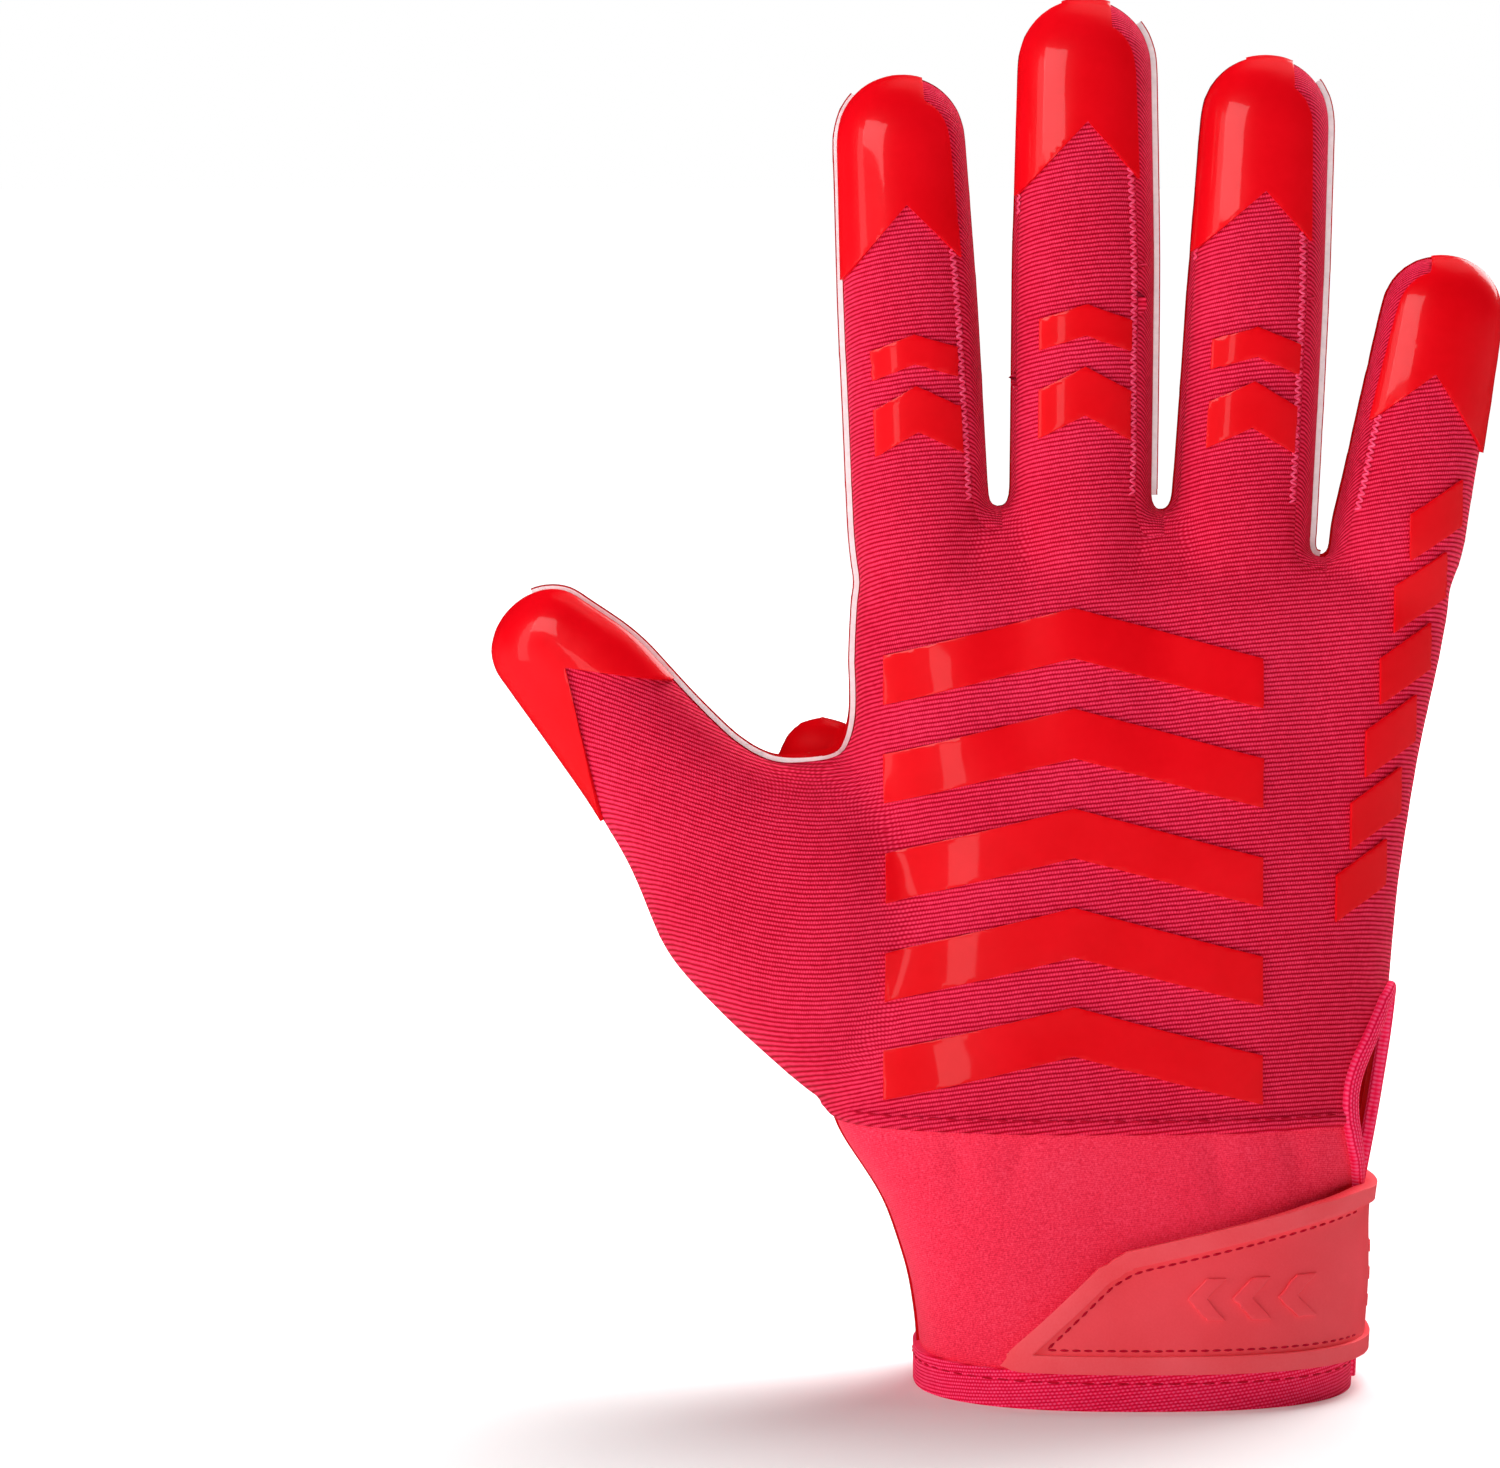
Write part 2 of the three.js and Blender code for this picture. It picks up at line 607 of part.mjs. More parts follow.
function makePrints() {
  const sheet = printShell.intersect(backSide);
  const fieldX = (share) => mix(knuckleLeft, knuckleRight, share);
  const fieldZ = (share) => mix(cuffHeight, knuckleHeight, share);
  const pitch = (chevronField.high - chevronField.low) / chevronCount;
  for (let index = 0; index < chevronCount; index += 1) {
    const low = chevronField.low + index * pitch;
    const thick = pitch * chevronShape.thick;
    const rise = pitch * chevronShape.rise;
    const middle = (chevronField.left + chevronField.right) / 2;
    const outline = [
      [fieldX(chevronField.left), fieldZ(low)],
      [fieldX(middle), fieldZ(low + rise)],
      [fieldX(chevronField.right), fieldZ(low)],
      [fieldX(chevronField.right), fieldZ(low + thick)],
      [fieldX(middle), fieldZ(low + rise + thick)],
      [fieldX(chevronField.left), fieldZ(low + thick)],
    ];
    addPart(`print_chevron_${index + 1}`, sheet.intersect(prismAlongY(outline)), 'print');
  }
  for (const finger of fingers.slice(0, 3)) {
    const frame = fingerFrame(finger);
    barRows.forEach((bar, row) => {
      const at = (across, rise) => {
        const point = frame.root.clone()
          .addScaledVector(frame.across, across * barWidth * finger.width / 2)
          .addScaledVector(frame.along, bar.along * finger.length + rise * finger.width);
        return [point.x, point.z];
      };
      const outline = [at(-1, 0), at(0, bar.thick / 2), at(1, 0),
        at(1, bar.thick), at(0, bar.thick * 1.5), at(-1, bar.thick)];
      addPart(`print_${finger.name}_${row + 1}`, sheet.intersect(prismAlongY(outline)), 'print');
    });
  }
  for (let index = 0; index < slashCount; index += 1) {
    const share = index / (slashCount - 1);
    const x = fieldX(mix(slashField.lowX, slashField.highX, share));
    const z = fieldZ(mix(slashField.lowZ, slashField.highZ, share));
    const wide = slashSize.wide * knuckleSpan;
    const tall = slashSize.tall * knuckleHeight;
    const slant = slashSize.slant * knuckleHeight;
    const outline = [[x, z], [x + wide, z + slant], [x + wide, z + slant + tall], [x, z + tall]];
    addPart(`print_slash_${index + 1}`, sheet.intersect(prismAlongY(outline)), 'print');
  }
}

// The strap: a tapered patch on the back that wraps the little-finger side to a ribbed tab.
function makeStrap() {
  const seat = tapeProud + seamGap;
  const band = (height) => handLimb(seat + height).subtract(handLimb(seat));
  const low = hemHeight + seamGap;
  const outline = (corners, length) => corners.map((corner) => (
    [wristEdge - corner.along * length, low + corner.up * strapHeight]));
  const patch = outline(patchOutline, strapLength);
  const tab = outline(tabOutline, tabLength);
  const back = layer(-reach / 2, 0);
  const palm = layer(0, reach / 2);
  const over = (outline, side) => prismAlongY(outline).intersect(side);
  const field = over(patch, back).add(over(tab, palm));
  const inner = over(insetOutline(patch, strapRimWidth), back)
    .add(over(insetOutline(tab, strapRimWidth), palm));
  const thin = band(strapThickness);
  const thick = band(strapThickness + strapRimHeight);
  const relief = band(strapThickness + strapRimHeight / 2);
  let strap = thin.intersect(field).add(thick.intersect(field.subtract(inner)));
  for (let rib = 1; rib <= tabRibs.count; rib += 1) {
    const rise = tabRibs.low + tabRibs.pitch * rib;
    const line = outline([
      { along: 2, up: rise - tabRibs.lean }, { along: -2, up: rise },
      { along: -2, up: rise + tabRibs.tall }, { along: 2, up: rise - tabRibs.lean + tabRibs.tall },
    ], tabLength);
    strap = strap.add(relief.intersect(over(line, palm)).intersect(inner));
  }
  for (let mark = 0; mark < patchMarks.count; mark += 1) {
    const { wide, low: bottom, tall } = patchMarks;
    const start = patchMarks.start + patchMarks.pitch * mark;
    const arrow = outline([
      { along: start + wide, up: bottom }, { along: start, up: bottom },
      { along: start + wide, up: bottom + tall / 2 }, { along: start, up: bottom + tall },
      { along: start + wide, up: bottom + tall }, { along: start + wide * 2, up: bottom + tall / 2 },
    ], strapLength);
    strap = strap.add(relief.intersect(over(arrow, back)));
  }
  addPart('wrist_strap', strap, 'strap');
}

makePanels();
makeBindings();
makeCaps();
makePrints();
makeStrap();

const glove = new THREE.Group();
glove.name = 'football_receiver_glove';
glove.add(...parts);

export default glove;
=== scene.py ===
# %% [markdown]
# A football receiver glove for the right hand, modelled as it stands when it is filled.
# It has a ribbed knit back, a glossy silicone palm, fingertip caps, raised prints, a stretch
# cuff with a side vent, and a moulded rubber wrist strap. The CAD model gives every place and
# size, and this script makes the pieces that the eye sees, in metres, in the same frame.

# %% Load the CAD frame
import math

import bmesh
import bpy
import numpy as np
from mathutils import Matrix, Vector
from mathutils.bvhtree import BVHTree


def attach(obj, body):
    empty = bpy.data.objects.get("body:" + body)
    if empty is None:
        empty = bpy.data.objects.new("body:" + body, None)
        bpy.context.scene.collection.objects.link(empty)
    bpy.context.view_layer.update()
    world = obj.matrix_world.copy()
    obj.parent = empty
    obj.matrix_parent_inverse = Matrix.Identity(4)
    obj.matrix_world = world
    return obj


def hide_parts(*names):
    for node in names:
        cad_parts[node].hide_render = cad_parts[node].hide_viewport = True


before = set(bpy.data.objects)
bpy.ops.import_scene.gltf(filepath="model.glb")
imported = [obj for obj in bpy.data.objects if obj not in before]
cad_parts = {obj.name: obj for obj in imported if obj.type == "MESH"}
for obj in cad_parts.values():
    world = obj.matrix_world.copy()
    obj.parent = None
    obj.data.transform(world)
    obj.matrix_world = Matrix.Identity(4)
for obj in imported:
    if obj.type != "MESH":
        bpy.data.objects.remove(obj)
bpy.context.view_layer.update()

# %% [markdown]
# The glove's sizes repeat the named sizes of the CAD source, so that both stay the same shape.
# Lengths are in metres: mm turns a number of millimetres into metres. Angles are in degrees.

# %% Sizes of the hand
mm = 0.001
wrist_width = 77 * mm
wrist_depth = 56 * mm
palm_depth = 34 * mm
knuckle_height = 150 * mm
knuckle_shift = 4 * mm
finger_gap = 3.1 * mm
finger_curl = 9 * mm
thumb_width = 21 * mm
thumb_length = 85 * mm
thumb_reach = 18 * mm
thumb_rise = math.radians(44)
finger_fields = ("width", "length", "splay", "flare", "cap", "notch", "crotch")
fingers = {
    "index": (23.9 * mm, 83 * mm, -3, 1.02, 1.5, 0.55, 0.27),
    "middle": (25.2 * mm, 96.5 * mm, 0.5, 1, 1.42, 0.56, 0.24),
    "ring": (24.2 * mm, 86.5 * mm, 3.3, 1.04, 1.48, 0.5, -0.22),
    "little": (22.4 * mm, 52 * mm, 10.5, 1.08, 1.48, 0.55, 0),
}
fingers = {name: dict(zip(finger_fields, row)) for name, row in fingers.items()}
knuckle_span = sum(f["width"] * f["flare"] for f in fingers.values()) + 3 * finger_gap
knuckle_left = knuckle_shift - knuckle_span / 2
knuckle_right = knuckle_shift + knuckle_span / 2
wrist_edge = wrist_width / 2
root_edge = knuckle_left
for finger in fingers.values():
    finger["root_x"] = root_edge + finger["width"] * finger["flare"] / 2
    root_edge += finger["width"] * finger["flare"] + finger_gap
print(f"knuckles from {knuckle_left / mm:.1f} to {knuckle_right / mm:.1f} mm")

# %% Sizes of cloth, trim and strap
wall = 1.6 * mm
cuff_height = 48 * mm
hem_height = 6.7 * mm
vent_top = 71 * mm
vent_width = 8 * mm
slit_width = 1.6 * mm
vent_tape = 3.4 * mm
strap_length = 64 * mm
strap_height = 30 * mm
tab_length = 17 * mm
strap_rim = 3 * mm

# %% [markdown]
# Small helpers come first. Operators act on everything that is selected, so each step starts by
# deselecting all. Edit mode is entered and left in one place. Points and faces are read as
# arrays, so that a rule for all of them is one line.

# %% Helpers for objects
def only(piece):
    """Selects one object and makes it the active one."""
    bpy.ops.object.select_all(action="DESELECT")
    piece.select_set(True)
    bpy.context.view_layer.objects.active = piece
    return piece


def added(operator, name, **values):
    """Adds an object with nothing else selected."""
    bpy.ops.object.select_all(action="DESELECT")
    operator(**values)
    bpy.context.object.name = name
    return bpy.context.object


def edit(piece, chosen=None):
    """Enters edit mode with all faces selected, or only the chosen ones."""
    only(piece)
    if chosen is not None:
        for items in (piece.data.vertices, piece.data.edges):
            items.foreach_set("select", np.zeros(len(items), dtype=bool))
        piece.data.polygons.foreach_set("select", chosen)
    bpy.ops.object.mode_set(mode="EDIT")
    bpy.ops.mesh.select_mode(type="FACE")
    if chosen is None:
        bpy.ops.mesh.select_all(action="SELECT")


def leave_edit():
    bpy.ops.object.mode_set(mode="OBJECT")


def copy_of(piece, name):
    """A copy with its own mesh."""
    twin = piece.copy()
    twin.data = piece.data.copy()
    twin.name = name
    bpy.context.scene.collection.objects.link(twin)
    return only(twin)


def apply_modifier(piece, kind, **values):
    only(piece)
    modifier = piece.modifiers.new(kind.title(), kind)
    for key, value in values.items():
        setattr(modifier, key, value)
    bpy.ops.object.modifier_apply(modifier=modifier.name)


def joined(pieces, name):
    only(pieces[0])
    for piece in pieces[1:]:
        piece.select_set(True)
    bpy.ops.object.join()
    pieces[0].name = name
    return pieces[0]


def unit(values):
    """The values, held between 0 and 1."""
    return np.clip(values, 0, 1)


def rows_of(items, field):
    flat = np.empty(len(items) * 3)
    items.foreach_get(field, flat)
    return flat.reshape(-1, 3)


def points_of(piece):
    return rows_of(piece.data.vertices, "co")


def normals_of(piece):
    return rows_of(piece.data.vertices, "normal")


def face_centres(piece):
    return rows_of(piece.data.polygons, "center")


def set_points(piece, points):
    piece.data.vertices.foreach_set("co", points.ravel())
    piece.data.update()


def keep_faces(piece, keep):
    """Deletes every face whose place in keep is False."""
    edit(piece, ~keep)
    bpy.ops.mesh.delete(type="FACE")
    leave_edit()
    return piece


def part_of(source, name, keep):
    """A copy of a surface that holds only the faces to keep."""
    return keep_faces(copy_of(source, name), keep)


def cut(piece, place, normal, chosen=None, clear_inner=False):
    """Bisects the mesh, or only its chosen faces, with a plane."""
    edit(piece, chosen)
    bpy.ops.mesh.bisect(plane_co=place, plane_no=normal, clear_inner=clear_inner, threshold=1e-6)
    leave_edit()


def push(piece, amount):
    """Moves the points along their normals, by one amount or each by its own."""
    set_points(piece, points_of(piece) + normals_of(piece) * np.reshape(amount, (-1, 1)))


def face_outwards(piece):
    edit(piece)
    bpy.ops.mesh.normals_make_consistent(inside=False)
    leave_edit()


print("helpers ready")

# %% [markdown]
# The hand is first modelled flat, with its middle surface at y = 0, because every seam of the
# glove is then a plane that bisect can cut. The last step bends all pieces by the same rule as
# the CAD model: fingers curl and the thumb reaches towards the palm, which is +Y.

# %% The bend of the hand
def middle_y(x, z):
    rise = np.maximum(0, z - knuckle_height) / fingers["middle"]["length"]
    run = np.maximum(0, knuckle_left - x) / thumb_length
    return finger_curl * rise ** 2 + thumb_reach * run ** 1.4


def bend(piece):
    points = points_of(piece)
    points[:, 1] += middle_y(points[:, 0], points[:, 2])
    set_points(piece, points)


# %% [markdown]
# A finger, the thumb or the body of the hand is a limb: a circle that is extruded once for each
# ring and then shaped to rounded ovals. Circles and extrusions give clean, closed rows.

# %% Limbs from rings
def oval_waves(sides, power):
    """The corners of a rounded oval, as shares of its half width and its half depth."""
    turn = np.arange(sides) / sides * 2 * math.pi
    waves = np.stack([np.cos(turn), np.sin(turn)])
    return np.sign(waves) * np.abs(waves) ** (2 / power)


def oval(centre, across, half, back, palm, power, sides):
    wide, deep = oval_waves(sides, power)
    ring = np.array(centre) + (wide * half)[:, None] * np.array(across)
    ring[:, 1] += deep * np.where(deep < 0, back, palm)
    return ring


def limb(name, rings):
    """A closed skin through rings of equal length, extruded from a circle."""
    sides, step = len(rings[0]), mm
    piece = added(bpy.ops.mesh.primitive_circle_add, name, vertices=sides, radius=10 * mm,
                  fill_type="NGON")
    edit(piece)
    for _ in rings[1:]:
        bpy.ops.mesh.extrude_region_move(TRANSFORM_OT_translate={"value": (0, 0, step)})
    leave_edit()
    straight = points_of(piece)
    row = np.rint(straight[:, 2] / step).astype(int)
    turn = np.arctan2(straight[:, 1], straight[:, 0]) / (2 * math.pi) * sides
    set_points(piece, np.array(rings)[row, np.rint(turn).astype(int) % sides])
    face_outwards(piece)
    return piece


def eased(rows, count, passes=3):
    """The rows of a table at even steps, with the corners between them rounded off."""
    rows = np.array(rows, dtype=float)
    at = np.linspace(0, len(rows) - 1, count)
    steps = np.arange(len(rows))
    table = np.stack([np.interp(at, steps, column) for column in rows.T], axis=1)
    for _ in range(passes):
        table[1:-1] = (table[:-2] + 2 * table[1:-1] + table[2:]) / 4
    return table


def domed(rings, centre, along, height):
    """Adds shrinking copies of the last ring that close a limb with a dome."""
    steps = 7
    end, centre, along = rings[-1], np.array(centre), np.array(along)
    for step in range(1, steps):
        angle = step / steps * math.pi / 2
        rings.append(centre + (end - centre) * math.cos(angle) + along * height * math.sin(angle))
    rings.append(centre + (end - centre) * 0.06 + along * height * 0.997)
    return rings


print("limbs ready")

# %% [markdown]
# The tables below hold the same sections as the CAD model, as shares of the sizes above. More
# rings are laid between the rows, so that the outlines run in curves.

# %% Finger limbs
finger_power, finger_sides = 2.2, 40
finger_sections = [  # along, width, depth, flare
    (-0.5, 0.64, 0.64, 1),
    (0, 1, 0.9, 1),
    (0.28, 1, 0.86, 0.44),
    (0.6, 1, 0.85, 0),
    (1, 0.94, 0.78, 0),
]
finger_dome = 0.47


def finger_frame(finger):
    angle = math.radians(finger["splay"])
    along = np.array((math.sin(angle), 0, math.cos(angle)))
    across = np.array((math.cos(angle), 0, -math.sin(angle)))
    return along, across, np.array((finger["root_x"], 0, knuckle_height))


def x_z(point):
    return (point[0], point[2])


def finger_spot(finger, right, up, more=0):
    """x and z on a finger: right in widths, up in lengths and some widths more."""
    along, across, root = finger_frame(finger)
    height = up * finger["length"] + more * finger["width"]
    return x_z(root + across * right * finger["width"] + along * height)


def finger_limb(name, finger):
    along, across, root = finger_frame(finger)
    dome = finger_dome * finger["width"]
    straight = finger["length"] - dome
    rings = []
    for place, wide, deep, flare in eased(finger_sections, 41):
        centre = root + along * place * straight
        half = wide * (1 + (finger["flare"] - 1) * flare) * finger["width"] / 2
        depth = deep * finger["width"] / 2
        rings.append(oval(centre, across, half, depth, depth, finger_power, finger_sides))
    return limb(name, domed(rings, centre, along, dome))


limbs = [finger_limb(f"form_{name}", finger) for name, finger in fingers.items()]
print("finger limbs:", len(limbs))

# %% Body of the hand
hand_power, hand_sides = 2.5, 72
hand_sections = [  # up, left, right, depth, round
    (-0.04, 0, 0, 1, 1),
    (0.06, 0, 0.03, 0.98, 1),
    (0.13, 0.14, 0.07, 0.86, 1),
    (0.22, 0.52, 0.06, 0.68, 1),
    (0.32, 1.4, 0.2, 0.52, 1),
    (0.44, 1.2, 0.34, 0.36, 1),
    (0.6, 1, 0.43, 0.16, 1),
    (0.75, 1, 0.6, 0.04, 0.98),
    (0.87, 1, 0.8, 0, 0.86),
    (0.95, 0.95, 0.9, 0, 0.72),
    (0.985, 0.75, 0.7, 0, 0.5),
]
hand_rings = []
for up, left, right, deep, round_off in eased(hand_sections, 61):
    low_x = -wrist_edge + (knuckle_left + wrist_edge) * left
    high_x = wrist_edge + (knuckle_right - wrist_edge) * right
    depth = round_off * (palm_depth + (wrist_depth - palm_depth) * deep) / 2
    middle = ((low_x + high_x) / 2, 0, up * knuckle_height)
    half = (high_x - low_x) / 2
    hand_rings.append(oval(middle, (1, 0, 0), half, depth, depth, hand_power, hand_sides))
limbs.append(limb("form_hand", hand_rings))

# %% Thumb limb
thumb_sections = [  # top along, top, low along, low, back, palm
    (-0.15, 1.2, -0.42, -0.7, 0.45, 0.6),
    (0.05, 1.35, -0.28, -1, 0.66, 0.86),
    (0.213, 1.226, -0.179, -1.186, 0.72, 0.92),
    (0.288, 0.992, 0.059, -1.233, 0.66, 0.84),
    (0.351, 0.709, 0.259, -1.211, 0.58, 0.7),
    (0.455, 0.538, 0.44, -0.872, 0.5, 0.56),
    (0.6, 0.537, 0.602, -0.703, 0.46, 0.5),
    (0.776, 0.581, 0.767, -0.582, 0.45, 0.47),
    (0.909, 0.472, 0.909, -0.481, 0.42, 0.44),
]
thumb_dome = 0.37
thumb_along = np.array((-math.cos(thumb_rise), 0, math.sin(thumb_rise)))
thumb_across = np.array((thumb_along[2], 0, -thumb_along[0]))
thumb_root = np.array((knuckle_left, 0, 0.526 * knuckle_height))


def thumb_point(along, across):
    return thumb_root + thumb_along * along * thumb_length + thumb_across * across * thumb_width


thumb_rings = []
for top_along, top, low_along, low, back, palm in eased(thumb_sections, 49, passes=4):
    high_end, low_end = thumb_point(top_along, top), thumb_point(low_along, low)
    run = high_end - low_end
    half = np.linalg.norm(run) / 2
    thumb_rings.append(oval((high_end + low_end) / 2, run / (half * 2), half,
                            back * thumb_width, palm * thumb_width, finger_power, finger_sides))
thumb_rings = domed(thumb_rings, (high_end + low_end) / 2, thumb_along, thumb_dome * thumb_width)
limbs.append(limb("form_thumb", thumb_rings))

# %% Webs between the fingers
names = list(fingers)
web_sections = [(1, 0.37), (0.17, 0.37), (0, 0.26)]  # drop, depth, in finger widths
web_overlap = 0.17
for first, second in zip(names, names[1:]):
    one, two = fingers[first], fingers[second]
    left = one["root_x"] + one["width"] * one["flare"] / 2
    right = two["root_x"] - two["width"] * two["flare"] / 2
    crotch = knuckle_height + one["crotch"] * one["width"]
    web_rings = []
    for drop, deep in eased(web_sections, 9, passes=1):
        middle = ((left + right) / 2, 0, crotch - drop * one["width"])
        half = (right - left) / 2 + web_overlap * one["width"]
        depth = deep * one["width"]
        web_rings.append(oval(middle, (1, 0, 0), half, depth, depth, finger_power, 24))
    limbs.append(limb(f"form_web_{first}", web_rings))
web_radius, web_depth = 8 * mm, 0.55
thumb_web = added(bpy.ops.mesh.primitive_uv_sphere_add, "form_web_thumb", segments=24, ring_count=12,
                  radius=web_radius, location=(-55.5 * mm, 5.5 * mm, 111 * mm))
edit(thumb_web)
bpy.ops.transform.resize(value=(1, web_depth, 1), center_override=thumb_web.location)
leave_edit()
bpy.ops.object.transform_apply(location=True, rotation=False, scale=False)
limbs.append(thumb_web)
print("limbs in all:", len(limbs))

# %% [markdown]
# The limbs overlap, as fingers grow out of a palm. A voxel remesh makes one skin of them, and
# smoothing turns the sharp valleys between them into the soft ones of stretched cloth.

# %% One skin for the whole hand
voxel = 1.1 * mm
skin = joined(limbs, "skin")
apply_modifier(skin, "REMESH", mode="VOXEL", voxel_size=voxel, adaptivity=0)
apply_modifier(skin, "SMOOTH", factor=0.5, iterations=10)
cut(skin, (0, 0, 0), (0, 0, 1), clear_inner=True)
print("skin faces:", len(skin.data.polygons))

# %% [markdown]
# Cloth over a hand isn't smooth: shallow valleys run down from the crotches between the
# tendons, and the palm creases where fingers bend. A crease is a line along which the skin is
# pushed inwards, deepest on the line, which is how it would be sculpted by hand.

# %% Creases and valleys
def crease(piece, side, start, end, width, depth):
    """Presses a groove into the back (side -1) or palm (side 1) along a line in x and z."""
    start, end = np.array(start) * mm, np.array(end) * mm
    run = end - start
    flat = points_of(piece)[:, [0, 2]] - start
    share = unit(flat @ run / (run @ run))
    away = np.linalg.norm(flat - share[:, None] * run, axis=1)
    fade = np.sin(math.pi * unit(0.08 + 0.84 * share)) ** 0.6
    facing = unit(normals_of(piece)[:, 1] * side * 2.2)
    push(piece, -depth * mm * np.exp(-(away / (width * mm)) ** 2) * fade * facing)


def soften(piece, weights_at, passes, back_only=True):
    """Smooths the skin where the weights are above zero."""
    weights = weights_at(*points_of(piece).T / mm)
    if back_only:
        weights *= unit(-normals_of(piece)[:, 1] * 2.5)
    levels = np.rint(unit(weights) * 10).astype(int)
    group = piece.vertex_groups.new(name="soft")
    for level in range(1, 11):
        group.add(np.flatnonzero(levels == level).tolist(), level / 10, "REPLACE")
    apply_modifier(piece, "SMOOTH", factor=0.5, iterations=passes, vertex_group="soft")
    piece.vertex_groups.clear()


# The three weights below say where the cloth is smoothed. Their places are in millimetres.
def finger_roots(x, y, z):
    return unit((z - 108) / 16) * unit((168 - z) / 10) * unit((x + 48) / 10)


def thumb_valley(x, y, z):
    return unit(1.6 - np.hypot((x + 50) / 26, (z - 84) / 40) * 1.6)


def thumb_crotch(x, y, z):
    return unit(2 - np.hypot(x + 54, z - 114) / 8) * unit((6 - y) / 6)


back_valleys = [  # start, end, width, depth in millimetres
    ((-23, 152), (-21, 112), 7, 0.9),
    ((4, 152), (4, 112), 7, 1),
    ((33, 142), (30, 106), 7, 1),
    ((-88, 118), (-60, 76), 10, 0.3),
    ((-36, 60), (-10, 70), 8, 0.5),
    ((-33, 49), (-31, 34), 2.4, 0.55),
    ((-20, 48), (-23, 37), 2, 0.35),
    ((12, 49), (15, 36), 2.2, 0.4),
    ((27, 50), (29, 38), 2.4, 0.6),
]
palm_creases = [
    ((-45, 132), (8, 126), 1.6, 1.2),
    ((2, 118), (54, 112), 1.6, 1.1),
    ((-40, 120), (-14, 60), 2, 1.3),
    ((-30, 52), (22, 56), 2.2, 0.8),
    ((-34, 30), (34, 33), 2.5, 0.7),
]
for name, finger in fingers.items():
    along, across, root = finger_frame(finger)
    for place, depth in ((0.02, 1), (0.3, 0.8), (0.58, 0.7)):
        middle = (root + along * place * finger["length"])[[0, 2]] / mm
        reach = across[[0, 2]] * finger["width"] / mm * 0.46
        tilt = np.array((0, (0.5 - place) * 1.6))
        palm_creases.append((middle - reach - tilt, middle + reach + tilt, 1.1, depth))
for place in (0.42, 0.7):
    middle, reach = thumb_point(place, 0)[[0, 2]] / mm, thumb_across[[0, 2]] * 9
    palm_creases.append((middle - reach, middle + reach, 1.4, 0.8))
soften(skin, finger_roots, 40)
soften(skin, thumb_valley, 60)
soften(skin, thumb_crotch, 90, back_only=False)
for side, lines in ((-1, back_valleys), (1, palm_creases)):
    for line in lines:
        crease(skin, side, *line)
print("creases pressed:", len(back_valleys) + len(palm_creases))

# %% [markdown]
# The skin is cut along the glove's seams. An outline is a list of corners in x and z, seen from
# the front. Each of its edges is a plane that bisects the faces in question, so that a face
# then lies wholly inside or outside.

# %% Outlines on the skin
def edges_of(outline):
    return zip(outline, outline[1:] + outline[:1])


def cut_outline(piece, outline, where=None):
    for (x1, z1), (x2, z2) in edges_of(outline):
        chosen = where(face_centres(piece)) if where else None
        cut(piece, (x1, 0, z1), (z2 - z1, 0, x1 - x2), chosen)


def inside(outline, points):
    """True for each point whose x and z lie inside the outline."""
    x, z = points[:, 0], points[:, 2]
    within = np.zeros(len(points), dtype=bool)
    for (x1, z1), (x2, z2) in edges_of(outline):
        if z1 != z2:
            crosses = (z1 > z) != (z2 > z)
            within ^= crosses & (x < x1 + (z - z1) / (z2 - z1) * (x2 - x1))
    return within


cut(skin, (0, 0, 0), (0, 1, 0))
cut(skin, (0, 0, hem_height), (0, 0, 1))
cut(skin, (0, 0, cuff_height), (0, 0, 1), face_centres(skin)[:, 1] < 0)
print("skin faces after the long seams:", len(skin.data.polygons))

# %% [markdown]
# A fourchette is the strip between two fingers. It lies on the back half of their sides, so the
# palm reaches the outline and the back ends a little inside it. Its depth differs from side to
# side, as the glove is turned on the hand.

# %% Fourchette outlines
strip_depths = {"index": (0, 7), "middle": (3.2, 7.5), "ring": (3.2, 7.5), "little": (6, 0)}
strip_foot, strip_tip, strip_far, strip_neck = 0.42, 0.16, 0.7, 0.25  # in finger widths
strips = []  # outline, depth, first finger of the pair
for first, second in zip(names, names[1:]):
    one, two = fingers[first], fingers[second]
    low = knuckle_height + (one["crotch"] - strip_foot) * one["width"]
    for owner, side in ((one, 1), (two, -1)):
        depth = (strip_depths[first][1] if side == 1 else strip_depths[second][0]) * mm
        tip, far = finger_spot(owner, side * strip_tip, 1), finger_spot(owner, side * strip_far, 1)
        neck = (owner["root_x"] + side * strip_neck * owner["width"], low)
        out = ((one["root_x"] + two["root_x"]) / 2, low)
        strips.append(([neck, out, far, tip], depth, first))


def behind(centres, depth):
    """True for faces on the back half of a side, down to a depth."""
    return (centres[:, 1] < 0) & (centres[:, 1] > -depth)


fingers_start = 120 * mm
for outline, depth, _ in strips:
    near = inside(outline, face_centres(skin)) & (face_centres(skin)[:, 1] < 0)
    cut(skin, (0, -depth, 0), (0, 1, 0), near)
    cut_outline(skin, outline, lambda c: behind(c, depth) & (c[:, 2] > fingers_start))
print("fourchette sides:", len(strips))

# %% Which face belongs to which piece
centres = face_centres(skin)
strip_of = np.zeros(len(centres), dtype=int)
for outline, depth, first in strips:
    strip_of[inside(outline, centres) & behind(centres, depth)] = 1 + names.index(first)
_, y, z = centres.T
back_face = part_of(skin, "back_face", (y < 0) & (z > cuff_height) & (strip_of == 0))
cuff = part_of(skin, "cuff", (y < 0) & (z > hem_height) & (z < cuff_height))
palm = part_of(skin, "palm", (y > 0) & (z > hem_height))
fourchettes = [part_of(skin, f"fourchette_{first}", strip_of == 1 + index)
               for index, first in enumerate(names[:-1])]
print("faces:", {p.name: len(p.data.polygons) for p in [back_face, cuff, palm, *fourchettes]})

# %% [markdown]
# Each panel gets the thickness of its cloth inwards, and its edges are drawn in a little, as a
# row of stitches pulls them into the seam.

